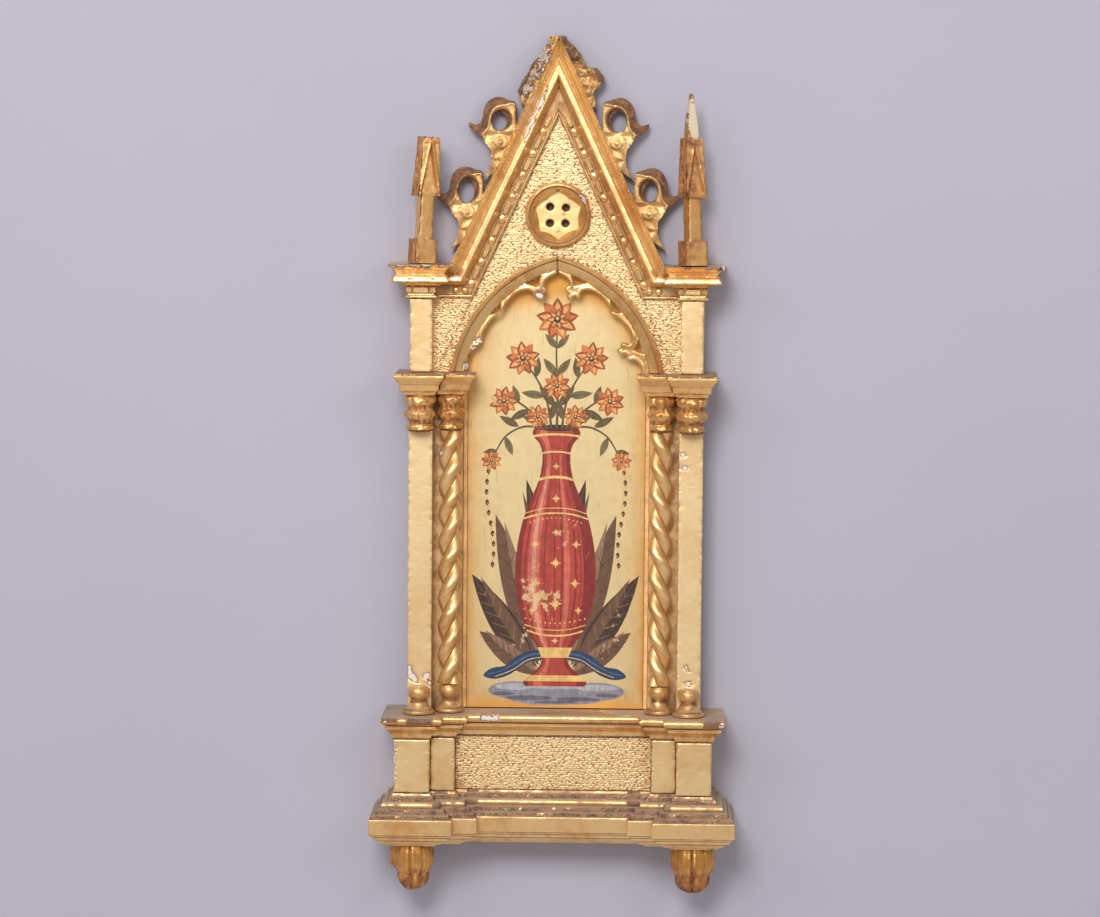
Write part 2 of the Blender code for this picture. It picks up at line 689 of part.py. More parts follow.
def gable_room(name):
    """What the gable fills, so that whatever stands on the rake is cut to it."""
    foot = (GABLE_OUTER_APEX - CORNICE_BOTTOM) * math.tan(GABLE_ANGLE) + GAP
    outline = [(foot, CORNICE_BOTTOM), (0.0, GABLE_OUTER_APEX + GAP / math.sin(GABLE_ANGLE))]
    outline.append((-foot, CORNICE_BOTTOM))
    return flat_piece(name, [outline], 3 * GROUND, -GROUND, helper=True)


GABLE_ROOM = gable_room("gable_room")


def crocket(name, side, down):
    x, z = rake_place(down, CROCKET_STAND_OFF, side)
    leaf = [(x - side * u * CROCKET_SIZE, z + v * CROCKET_SIZE) for u, v in CROCKET_OUTER]
    hole = []
    for i in range(10):
        angle = 2 * math.pi * i / 10
        u = CROCKET_HOLE[0] * math.cos(angle) * CROCKET_SIZE
        v = CROCKET_HOLE[1] * math.sin(angle) * CROCKET_SIZE
        hole.append((x + u, z + v))
    middle = (BOARD_FACE - CROCKET_THICKNESS) / 2
    obj = flat_piece(
        name, [leaf, hole], middle, middle + CROCKET_THICKNESS, rounding=CROCKET_SIZE * 0.06
    )
    combine(obj, GABLE_ROOM, "DIFFERENCE")
    finish(obj, WARM_GOLD, 0.5, 0.6)


# Shares of its length for each stub, down the rake and off it
STUB_OUTER = {
    "left": (
        (0.01, 0.005), (0.07, 0.110), (0.17, 0.092), (0.31, 0.098), (0.50, 0.159), (0.70, 0.178),
        (0.86, 0.174), (0.90, 0.120), (1.00, 0.060), (0.96, -0.070), (0.16, -0.070),
    ),
    "right": (
        (0.01, 0.005), (0.04, 0.070), (0.14, 0.079), (0.25, 0.124), (0.35, 0.150), (0.51, 0.152),
        (0.57, 0.258), (0.73, 0.290), (0.79, 0.214), (0.83, 0.102), (1.03, 0.035), (0.96, -0.070),
        (0.16, -0.070),
    ),
}


def crocket_stub(word, side):
    """The rough remains where the top crocket broke away."""
    outline = []
    for down, away in STUB_OUTER[word]:
        outline.append(rake_place(down * STUB_LENGTH, away * STUB_LENGTH, side))
    middle = BOARD_FACE / 2
    front = middle - STUB_THICKNESS / 2
    obj = flat_piece(
        f"crocket_stub_{word}", [outline], front, front + STUB_THICKNESS,
        rounding=STUB_THICKNESS * 0.08,
    )
    combine(obj, GABLE_ROOM, "DIFFERENCE")
    finish(obj, BARE_WOOD, 0.8, 0.0)


for word, side in SIDES.items():
    crocket(f"crocket_{word}_upper", side, CROCKET_UPPER)
    crocket(f"crocket_{word}_lower", side, CROCKET_LOWER)
    crocket_stub(word, side)


# Roundel: a turned ring with a star-shaped opening, and a plate with four drilled holes

def roundel_ring():
    inner = ROUNDEL_STAR_RADIUS * 0.80
    bore = ROUNDEL_BORE_RADIUS
    floor = -ROUNDEL_SINK
    front = ROUNDEL_PROJECTION
    profile = (
        (bore, 0.0), (ROUNDEL_RADIUS, 0.0), (ROUNDEL_RADIUS, 0.30 * front),
        (ROUNDEL_RADIUS * 0.95, 0.60 * front), (ROUNDEL_RADIUS * 0.92, front),
        (ROUNDEL_RADIUS * 0.88, 0.90 * front), (bore * 1.02, 0.30 * front),
        (inner, floor + ROUNDEL_LIP), (inner, floor), (bore, floor), (bore, 0.0),
    )
    place_at = (0.0, GROUND, ROUNDEL_Z)
    obj = turned("roundel_ring", profile[::-1], place_at, 22, "Y")
    points = []
    for i in range(24):
        angle = 2 * math.pi * i / 24
        share = abs(math.sin(3 * (angle - math.pi / 2) + math.pi / 2))
        radius = ROUNDEL_STAR_RADIUS * (0.83 + 0.17 * share ** 2)
        points.append((radius * math.cos(angle), ROUNDEL_Z + radius * math.sin(angle)))
    star = flat_piece("roundel_star", [points], 2 * GROUND, 0.0, helper=True)
    combine(obj, star, "DIFFERENCE")
    finish(obj, GOLD)


def roundel_plate():
    rim = arc((0.0, ROUNDEL_Z), ROUNDEL_BORE_RADIUS - GAP, 0.0, 2 * math.pi, 24)[:-1]
    outlines = [rim]
    half = ROUNDEL_HOLE_SPACING / 2
    for x in (-half, half):
        for z in (-half, half):
            hole = arc((x, ROUNDEL_Z + z), ROUNDEL_HOLE_RADIUS, 0.0, 2 * math.pi, 8)[:-1]
            outlines.append(hole)
    front = GROUND + ROUNDEL_SINK + GAP
    obj = flat_piece("roundel_plate", outlines, front, front + ROUNDEL_PLATE_THICKNESS)
    finish(obj, PALE_GOLD)


roundel_ring()
roundel_plate()


# Upper strips, pilasters and their capitals and bases

for word, side in SIDES.items():
    strip = side_box(
        f"upper_strip_{word}", side, STRIP_INNER, STRIP_OUTER,
        PILASTER_FACE, GROUND, STRIP_BOTTOM, STRIP_TOP,
    )
    finish(strip, PALE_GOLD)
    pilaster = side_box(
        f"pilaster_{word}", side, BOARD_HALF_WIDTH - PILASTER_WIDTH, BOARD_HALF_WIDTH,
        PILASTER_FACE, GROUND, BASE_BOTTOM, ABACUS_BOTTOM - GAP,
    )
    finish(pilaster, PALE_GOLD)


def bell(name, centre, radius):
    """The carved bell of a capital: a collar and two staggered rings of bosses."""
    shares = (
        (0.00, 0.60, 0.00, 0), (0.08, 0.72, 0.00, 0), (0.17, 0.68, 0.00, 0),
        (0.28, 0.60, 0.00, 0), (0.48, 0.76, 0.22, 1), (0.60, 0.70, 0.04, 1),
        (0.80, 0.76, 0.24, 0), (0.91, 0.81, 0.04, 0), (1.03, 0.84, 0.00, 0),
    )
    rings = []
    for up, core, boss, row in shares:
        ring = []
        for i in range(16):
            angle = 2 * math.pi * i / 16
            swell = 0.5 + 0.5 * math.cos(8 * angle + row * math.pi)
            out = radius * (core + boss * swell)
            x = centre[0] + out * math.cos(angle)
            y = centre[1] + out * math.sin(angle)
            ring.append((x, y, BELL_BOTTOM + up * BELL_HEIGHT))
        rings.append(ring)
    return loft(name, rings, helper=True)


ABACUS_LEVELS = scaled(ABACUS_PROFILE, ABACUS_HEIGHT, ABACUS_PROJECTION, ABACUS_BOTTOM)


def capital_outer(word, side):
    near = PILASTER_CENTRE - ABACUS_HALF
    far = PILASTER_CENTRE + ABACUS_HALF
    front = OUTER_BELL_Y - ABACUS_HALF
    outline = (
        (far, 0.0, 1, 0),
        (far, front, 1, -1),
        (near, front, -1, -1),
        (near, GROUND, -1, 0),
        (BOARD_HALF_WIDTH + GAP, GROUND, 0, 0),
        (BOARD_HALF_WIDTH + GAP, 0.0, 0, 0),
    )
    obj = moulded_block(f"capital_outer_{word}", outline, ABACUS_LEVELS, side)
    centre = (side * PILASTER_CENTRE, OUTER_BELL_Y)
    body = bell(f"bell_outer_{word}", centre, OUTER_BELL_RADIUS)
    combine(obj, body, "UNION")
    room = side_box(
        f"pilaster_room_{word}", side, PILASTER_CENTRE - 2 * PILASTER_WIDTH,
        PILASTER_CENTRE + 2 * PILASTER_WIDTH, PILASTER_FACE - GAP, 0.0,
        SILL_TOP, ABACUS_BOTTOM, helper=True,
    )
    combine(obj, room, "DIFFERENCE")
    finish(obj, WARM_GOLD)
    return room


def capital_inner(word, side):
    near = COLUMN_CENTRE - ABACUS_HALF
    far = PILASTER_CENTRE - ABACUS_HALF - GAP
    front = COLUMN_Y - ABACUS_HALF
    outline = (
        (far, GROUND, -1, 0),
        (far, front, -1, -1),
        (near, front, -1, -1),
        (near, GROUND, -1, 0),
    )
    obj = moulded_block(f"capital_inner_{word}", outline, ABACUS_LEVELS, side)
    centre = (side * COLUMN_CENTRE, COLUMN_Y)
    body = bell(f"bell_inner_{word}", centre, INNER_BELL_RADIUS)
    combine(obj, body, "UNION")
    finish(obj, WARM_GOLD)


def base(name, centre, radius, room=None):
    """A turned base: a spreading foot, a neck and a ball."""
    shares = (
        (0.00, 1.00), (0.52, 1.00), (0.66, 0.90), (0.68, 0.72), (0.60, 0.56), (0.50, 0.46),
        (0.58, 0.34), (0.92, 0.20), (1.00, 0.12), (0.98, 0.00), (0.00, 0.00),
    )
    profile = [(out * radius, up * BASE_HEIGHT) for out, up in shares]
    obj = turned(name, profile, (*centre, BASE_BOTTOM), 12)
    if room:
        combine(obj, room, "DIFFERENCE")
    finish(obj, GOLD)


def twisted_column(name, side, steps=36, around=8):
    """Two round strands twisted about each other, turning opposite ways on the two sides."""
    rings = []
    for step in range(steps + 1):
        height = COLUMN_HEIGHT * step / steps
        turn = -2 * math.pi * height / COLUMN_PITCH
        ring = []
        for i in range(around):
            angle = 2 * math.pi * i / around
            apart = abs(math.cos(angle)) * COLUMN_STRAND_OFFSET
            off = math.sin(angle) * COLUMN_STRAND_OFFSET
            radius = apart + math.sqrt(COLUMN_STRAND_RADIUS ** 2 - off ** 2)
            x = COLUMN_CENTRE + radius * math.cos(angle + turn)
            y = COLUMN_Y + radius * math.sin(angle + turn)
            ring.append((side * x, y, COLUMN_BOTTOM + height))
        rings.append(ring)
    obj = loft(name, rings)
    obj.data.shade_smooth()
    finish(obj, GOLD)


for word, side in SIDES.items():
    pilaster_room = capital_outer(word, side)
    capital_inner(word, side)
    outer = (side * PILASTER_CENTRE, OUTER_BELL_Y)
    base(f"base_outer_{word}", outer, OUTER_BASE_RADIUS, pilaster_room)
    inner = (side * COLUMN_CENTRE, COLUMN_Y)
    board_room = side_box(
        f"board_room_{word}", side, 0.0, 2 * COLUMN_CENTRE, GROUND, 0.0,
        SILL_TOP, ABACUS_TOP, helper=True,
    )
    base(f"base_inner_{word}", inner, INNER_BASE_RADIUS, board_room)
    twisted_column(f"twisted_column_{word}", side)


# Pinnacles: a turned-corner block, a shaft and a gableted head, with a spire on the right

def square_ring(width, height, centre):
    ring = []
    for corner in range(4):
        angle = PINNACLE_TURN + math.pi / 4 + corner * math.pi / 2
        x = centre[0] + width / math.sqrt(2) * math.cos(angle)
        y = centre[1] + width / math.sqrt(2) * math.sin(angle)
        ring.append((x, y, height))
    return ring


def gablets(name, centre, bottom, faces, share, foot, front, back):
    """Steep three-cornered plates on some faces of the head, or the hollows cut in them."""
    width = PINNACLE_HEAD_WIDTH
    shape = bmesh.new()
    for face in faces:
        turn = Matrix.Rotation(PINNACLE_TURN + face * math.pi / 2, 4, "Z")
        stand = Matrix.Translation((centre[0], centre[1], bottom)) @ turn
        top = PINNACLE_HEAD_HEIGHT * 0.99 * share
        lean = width * (1 - PINNACLE_HEAD_TAPER) / 2 * share
        corners = ((-0.5, foot, 0.0), (0.5, foot, 0.0), (0.0, top, lean))
        rows = []
        for depth in (front, back):
            row = []
            for across, up, back_by in corners:
                point = (across * width * share, depth - width / 2 + back_by, up)
                row.append(shape.verts.new(stand @ Vector(point)))
            rows.append(row)
        shape.faces.new(rows[0])
        shape.faces.new(rows[1][::-1])
        for i in range(3):
            j = (i + 1) % 3
            shape.faces.new((rows[0][i], rows[1][i], rows[1][j], rows[0][j]))
    return from_bmesh(name, shape, helper=True)


def pinnacle(name, side, spired):
    centre = (side * PILASTER_CENTRE, PILASTER_FACE / 2 - MOULDING_PROJECTION / 2)
    levels = [PINNACLE_BOTTOM]
    for height in (PINNACLE_BLOCK_HEIGHT, PINNACLE_SHAFT_HEIGHT, PINNACLE_HEAD_HEIGHT):
        levels.append(levels[-1] + height)
    head_width = PINNACLE_HEAD_WIDTH - PINNACLE_RIB
    widths = (
        (PINNACLE_BLOCK_WIDTH, levels[0]), (PINNACLE_BLOCK_WIDTH, levels[1]),
        (PINNACLE_SHAFT_WIDTH, levels[1] + GAP), (PINNACLE_SHAFT_WIDTH, levels[2] - GAP),
        (head_width, levels[2]), (head_width * PINNACLE_HEAD_TAPER, levels[3]),
    )
    if spired:
        widths += (
            (SPIRE_WIDTH, levels[3] + GAP),
            (SPIRE_WIDTH * 0.40, levels[3] + SPIRE_HEIGHT * 0.95),
            (SPIRE_WIDTH * 0.15, levels[3] + SPIRE_HEIGHT),
        )
    obj = loft(name, [square_ring(width, height, centre) for width, height in widths])
    for number, faces in enumerate(((0, 2), (1, 3))):
        plates = gablets(
            f"{name}_gablets_{number}", centre, levels[2], faces,
            1.0, -PINNACLE_RIB / 2 - number * GAP, 0.0, 2 * PINNACLE_RIB,
        )
        combine(obj, plates, "UNION")
    hollows = gablets(
        f"{name}_hollows", centre, levels[2], range(4),
        0.72, PINNACLE_RIB, -PINNACLE_RIB, PINNACLE_RIB * 0.6,
    )
    combine(obj, hollows, "DIFFERENCE")
    finish(obj, WARM_GOLD)


pinnacle("pinnacle_left", -1, spired=False)
pinnacle("pinnacle_right", 1, spired=True)


# The base: pedestals, the stippled panel, the sill over them and the plinth under them

def stepped_outline():
    """The plan of the base, stepping forward from the middle to the outer pedestals."""
    right = (
        (OUTER_PEDESTAL_END, 0.0, 1, 0),
        (OUTER_PEDESTAL_END, -OUTER_PEDESTAL_DEPTH, 1, -1),
        (OUTER_PEDESTAL_START, -OUTER_PEDESTAL_DEPTH, -1, -1),
        (OUTER_PEDESTAL_START, -INNER_PEDESTAL_DEPTH, -1, -1),
        (INNER_PEDESTAL_START, -INNER_PEDESTAL_DEPTH, -1, -1),
        (INNER_PEDESTAL_START, -PREDELLA_DEPTH, -1, -1),
    )
    left = tuple((-x, y, -dx, dy) for x, y, dx, dy in reversed(right))
    return right + left


sill_levels = scaled(SILL_PROFILE, SILL_HEIGHT, SILL_PROJECTION, SILL_BOTTOM)
finish(moulded_block("sill", stepped_outline(), sill_levels), GOLD)
plinth_levels = scaled(PLINTH_PROFILE, PLINTH_HEIGHT, PLINTH_PROJECTION, PLINTH_BOTTOM)
finish(moulded_block("plinth", stepped_outline(), plinth_levels), WARM_GOLD)
for word, side in SIDES.items():
    inner = side_box(
        f"pedestal_inner_{word}", side, INNER_PEDESTAL_START, INNER_PEDESTAL_END,
        -INNER_PEDESTAL_DEPTH, 0.0, PEDESTAL_BOTTOM, PEDESTAL_TOP,
    )
    finish(inner, PALE_GOLD)
    outer = side_box(
        f"pedestal_outer_{word}", side, OUTER_PEDESTAL_START, OUTER_PEDESTAL_END,
        -OUTER_PEDESTAL_DEPTH, 0.0, PEDESTAL_BOTTOM, PEDESTAL_TOP,
    )
    finish(outer, PALE_GOLD)
predella = box(
    "predella_panel", (-PREDELLA_HALF_WIDTH, -PREDELLA_DEPTH, PEDESTAL_BOTTOM),
    (PREDELLA_HALF_WIDTH, 0.0, PEDESTAL_TOP),
)
finish(predella, GOLD)


# Feet: carved buds of eight leaf lobes

def foot(name, side):
    shares = (
        (1.00, 0.94, 0.05), (0.92, 1.00, 0.07), (0.72, 1.08, 0.10), (0.52, 1.04, 0.10),
        (0.42, 0.92, 0.08), (0.36, 0.84, 0.05), (0.26, 0.86, 0.09), (0.14, 0.74, 0.10),
        (0.05, 0.52, 0.08), (0.00, 0.26, 0.02),
    )
    rings = []
    for up, core, groove in shares:
        ring = []
        for i in range(16):
            angle = 2 * math.pi * i / 16
            hollow = abs(math.cos(4 * angle))
            out = FOOT_RADIUS * (core - groove + groove * hollow)
            x = side * OUTER_PEDESTAL_CENTRE + out * math.cos(angle)
            ring.append((x, -FOOT_DEPTH + out * math.sin(angle), FOOT_BOTTOM + up * FOOT_HEIGHT))
        rings.append(ring)
    obj = loft(name, rings)
    obj.data.shade_smooth()
    finish(obj, WARM_GOLD)


for word, side in SIDES.items():
    foot(f"foot_{word}", side)
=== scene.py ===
"""The looks of the gilt wall plaque: a carved, gilt and time-worn Gothic frame round a painted
panel. Every length is in metres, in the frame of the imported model: X to the right, the front
towards -Y, Z up, and the origin on the flat back."""

import math
from functools import partial

import bpy
import numpy as np
from mathutils import Matrix, Vector, noise
from mathutils.geometry import delaunay_2d_cdt


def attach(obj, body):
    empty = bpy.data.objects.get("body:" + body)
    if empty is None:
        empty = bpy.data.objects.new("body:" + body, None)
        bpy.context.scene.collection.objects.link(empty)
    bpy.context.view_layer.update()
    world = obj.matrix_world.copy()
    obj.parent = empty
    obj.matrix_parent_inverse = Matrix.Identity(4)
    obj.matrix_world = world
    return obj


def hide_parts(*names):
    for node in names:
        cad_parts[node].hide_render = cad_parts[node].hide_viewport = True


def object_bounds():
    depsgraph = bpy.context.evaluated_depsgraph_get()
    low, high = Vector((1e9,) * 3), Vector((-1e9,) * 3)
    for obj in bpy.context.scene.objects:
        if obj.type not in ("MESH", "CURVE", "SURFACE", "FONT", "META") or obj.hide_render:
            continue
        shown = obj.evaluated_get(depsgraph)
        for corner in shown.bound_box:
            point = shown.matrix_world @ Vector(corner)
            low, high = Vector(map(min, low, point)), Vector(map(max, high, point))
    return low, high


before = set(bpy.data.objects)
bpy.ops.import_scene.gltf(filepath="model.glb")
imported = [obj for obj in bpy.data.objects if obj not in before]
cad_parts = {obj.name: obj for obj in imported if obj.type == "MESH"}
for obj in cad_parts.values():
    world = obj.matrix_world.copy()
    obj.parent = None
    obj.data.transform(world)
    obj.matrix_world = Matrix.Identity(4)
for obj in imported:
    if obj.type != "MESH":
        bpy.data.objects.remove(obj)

cad_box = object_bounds()


# The room. A sheet of lilac-grey paper hangs right behind the plaque and there is a pale floor
# well below it. The light is soft, from above and in front, and the camera stands a little
# above the middle of the plaque.

WALL_BACK = 0.0012
FLOOR_LEVEL = -0.95
PAPER = (0.475, 0.462, 0.555)
FLOOR_PAINT = (0.70, 0.69, 0.70)


def wire(tree, kind, inputs, **settings):
    """Adds one shader node, with its inputs given as sockets to join or as plain values."""
    made = tree.nodes.new(kind)
    for key, value in settings.items():
        setattr(made, key, value)
    for key, value in inputs.items():
        if isinstance(value, bpy.types.NodeSocket):
            tree.links.new(value, made.inputs[key])
        else:
            made.inputs[key].default_value = value
    return made


def new_material(name):
    """An empty material, with its tree and its output node."""
    made = bpy.data.materials.new(name)
    made.use_nodes = True
    made.node_tree.nodes.clear()
    out = made.node_tree.nodes.new("ShaderNodeOutputMaterial")
    return made, made.node_tree, out


def stage_sheet(name, corners, colour, see_through):
    """One sheet of the set, its colour a little uneven."""
    mesh = bpy.data.meshes.new(name)
    mesh.from_pydata(corners, [], [(0, 1, 2, 3)])
    sheet = bpy.data.objects.new(name, mesh)
    bpy.context.scene.collection.objects.link(sheet)
    made, tree, out = new_material(name)
    places = wire(tree, "ShaderNodeTexCoord", {})
    fibres = wire(tree, "ShaderNodeTexNoise", {
        "Vector": places.outputs["Object"], "Scale": 5.0, "Detail": 3.0})
    tint = wire(tree, "ShaderNodeMapRange", {
        "Value": fibres.outputs["Fac"], "To Min": 0.96, "To Max": 1.04})
    paint = wire(tree, "ShaderNodeVectorMath", {
        0: colour, "Scale": tint.outputs[0]}, operation="SCALE")
    surface = wire(tree, "ShaderNodeBsdfPrincipled", {
        "Base Color": paint.outputs[0], "Roughness": 0.85})
    result = surface.outputs[0]
    if see_through:
        facing = wire(tree, "ShaderNodeNewGeometry", {})
        clear = wire(tree, "ShaderNodeBsdfTransparent", {})
        mixed = wire(tree, "ShaderNodeMixShader", {
            0: facing.outputs["Backfacing"], 1: result, 2: clear.outputs[0]})
        result = mixed.outputs[0]
    tree.links.new(result, out.inputs["Surface"])
    mesh.materials.append(made)


stage_sheet("paper_wall", [
    (-2.5, WALL_BACK, FLOOR_LEVEL), (2.5, WALL_BACK, FLOOR_LEVEL),
    (2.5, WALL_BACK, 2.2), (-2.5, WALL_BACK, 2.2)], PAPER, True)
stage_sheet("pale_floor", [
    (-3.5, -4.5, FLOOR_LEVEL), (3.5, -4.5, FLOOR_LEVEL),
    (3.5, 3.0, FLOOR_LEVEL), (-3.5, 3.0, FLOOR_LEVEL)], FLOOR_PAINT, False)

world = bpy.data.worlds.new("studio_air")
bpy.context.scene.world = world
world.use_nodes = True
world.node_tree.nodes["Background"].inputs["Color"].default_value = (1.0, 0.90, 0.78, 1)
world.node_tree.nodes["Background"].inputs["Strength"].default_value = 0.16


def softbox(name, place_at, size, power, colour):
    """A square area light, turned to the plaque."""
    data = bpy.data.lights.new(name, "AREA")
    data.size, data.energy, data.color = size, power, colour
    lamp = bpy.data.objects.new(name, data)
    lamp.location = place_at
    aim = Vector((0.0, 0.0, -0.12)) - Vector(place_at)
    lamp.rotation_euler = aim.to_track_quat("-Z", "Y").to_euler()
    bpy.context.scene.collection.objects.link(lamp)


WARM_LAMP, WHITE_LAMP = (1.0, 0.985, 0.96), (1.0, 0.99, 0.98)
softbox("light_key", (-0.33, -2.25, 1.02), 0.8, 36.0, WARM_LAMP)
softbox("light_above", (-0.10, -0.70, 1.30), 0.8, 2.5, WHITE_LAMP)
softbox("light_left", (-1.25, -1.35, 0.70), 0.6, 4.0, WHITE_LAMP)
softbox("light_right", (1.25, -1.60, 0.60), 0.6, 4.5, WHITE_LAMP)
SIDES = (("left", -1), ("right", 1))
for word, side in SIDES:
    softbox(f"light_front_{word}", (side * 0.72, -2.30, 0.42), 0.9, 3.6, WARM_LAMP)

CAMERA_PLACE = Vector((0.057, -2.25, 0.070))
CAMERA_AIM = Vector((-0.0034, -0.020, -0.1378))
CAMERA_ROLL = math.radians(0.45)
camera_data = bpy.data.cameras.new("camera")
camera_data.lens = 126.1
camera_data.sensor_width = 36.0
camera = bpy.data.objects.new("camera", camera_data)
look = (CAMERA_AIM - CAMERA_PLACE).to_track_quat("-Z", "Y").to_matrix().to_4x4()
camera.matrix_world = Matrix.Translation(CAMERA_PLACE) @ look @ Matrix.Rotation(
    CAMERA_ROLL, 4, "Z")
bpy.context.scene.collection.objects.link(camera)
bpy.context.scene.camera = camera
bpy.context.scene.view_settings.view_transform = "Standard"


# The back board: a plain sawn board of softwood behind everything, never gilt and darkened by
# age. It hangs flat on the wall. The solid's own shape is right, so it gets its wood alone.


def blend(tree, factor, first, second):
    """Mixes two colours by a factor."""
    return wire(tree, "ShaderNodeMix", {0: factor, 6: first, 7: second},
                data_type="RGBA").outputs[2]


def spread(tree, value, low, high, to_low=0.0, to_high=1.0):
    """Turns the values from low to high into a smooth slope between two others."""
    return wire(tree, "ShaderNodeMapRange", {
        "Value": value, 1: low, 2: high, 3: to_low, 4: to_high},
        interpolation_type="SMOOTHSTEP").outputs[0]


def scaled(tree, value, factor, more=0.0, clamp=False):
    """The value times a factor, and then more added."""
    return wire(tree, "ShaderNodeMath", {0: value, 1: factor, 2: more},
                operation="MULTIPLY_ADD", use_clamp=clamp).outputs[0]


def larger(tree, first, second):
    return wire(tree, "ShaderNodeMath", {0: first, 1: second}, operation="MAXIMUM").outputs[0]


def speckle(tree, vector, scale, detail=3.0, roughness=0.6):
    return wire(tree, "ShaderNodeTexNoise", {
        "Vector": vector, "Scale": scale, "Detail": detail, "Roughness": roughness}
        ).outputs["Fac"]


COLOUR, NUMBER = "NodeSocketColor", "NodeSocketFloat"


def new_group(name, values, metal=True):
    """A shader group with these values going in. With it come its inputs, a function that
    fills an output, its object coordinates and the makers of nodes above, tied to it."""
    group = bpy.data.node_groups.new(name, "ShaderNodeTree")
    for label, value in values.items():
        kind = COLOUR if isinstance(value, tuple) else NUMBER
        socket = group.interface.new_socket(label, in_out="INPUT", socket_type=kind)
        socket.default_value = (*value, 1) if kind == COLOUR else value
    for label in ("Color", "Roughness", "Metallic", "Height") if metal else (
            "Color", "Roughness", "Height"):
        group.interface.new_socket(label, in_out="OUTPUT",
                                   socket_type=COLOUR if label == "Color" else NUMBER)
    given = group.nodes.new("NodeGroupInput").outputs
    result = group.nodes.new("NodeGroupOutput").inputs
    places = wire(group, "ShaderNodeTexCoord", {}).outputs["Object"]
    return group, given, lambda label, value: group.links.new(value, result[label]), places, [
        partial(make, group) for make in (wire, blend, spread, scaled, larger, speckle)]


def old_wood_group():
    """Bare wood: long grain along Z, with pores and a film of dirt."""
    group, given, put, places, (node, mix, ramp, times, _, dots) = new_group("old_wood", {
        "Pale": (0.30, 0.17, 0.085), "Dark": (0.10, 0.05, 0.025)}, metal=False)
    stretched = node("ShaderNodeMapping", {
        "Vector": places, "Scale": (1.0, 1.0, 0.06)}).outputs[0]
    grain = dots(stretched, 420.0, 5.0, 0.65)
    shade = times(grain, 0.9, times(dots(stretched, 60.0), 0.6))
    shade = times(dots(places, 18.0, 4.0), 0.5, shade)
    put("Color", mix(ramp(shade, 0.75, 1.25), given["Dark"], given["Pale"]))
    put("Roughness", ramp(grain, 0.3, 0.7, 0.85, 0.65))
    put("Height", grain)
    return group


OLD_WOOD = old_wood_group()


def use_group(tree, group, values):
    """Places a shader group in a material and sets its named values."""
    used = tree.nodes.new("ShaderNodeGroup")
    used.node_tree = group
    for label, value in values.items():
        used.inputs[label].default_value = (*value, 1) if isinstance(value, tuple) else value
    return used


def skin(tree, out, used, bump, distance, metal=True):
    """The shader itself: what the group puts out feeds a Principled surface and its bump."""
    relief = wire(tree, "ShaderNodeBump", {
        "Strength": bump, "Distance": distance, "Height": used.outputs["Height"]})
    inputs = {"Base Color": used.outputs["Color"], "Roughness": used.outputs["Roughness"],
              "Normal": relief.outputs[0]}
    if metal:
        inputs["Metallic"] = used.outputs["Metallic"]
    surface = wire(tree, "ShaderNodeBsdfPrincipled", inputs)
    tree.links.new(surface.outputs[0], out.inputs["Surface"])


bare_board, tree, out = new_material("bare_board")
skin(tree, out, use_group(tree, OLD_WOOD, {}), 0.5, 0.0004, metal=False)
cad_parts["back_board"].data.materials.clear()
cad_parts["back_board"].data.materials.append(bare_board)


# The front board: softwood coated with white gesso, stippled with a punch while soft and then
# gilt. It carries the pointed opening, and the roundel's bore. The punched ground shows in the
# gable and in the corners over the arch; elsewhere the board is smooth.


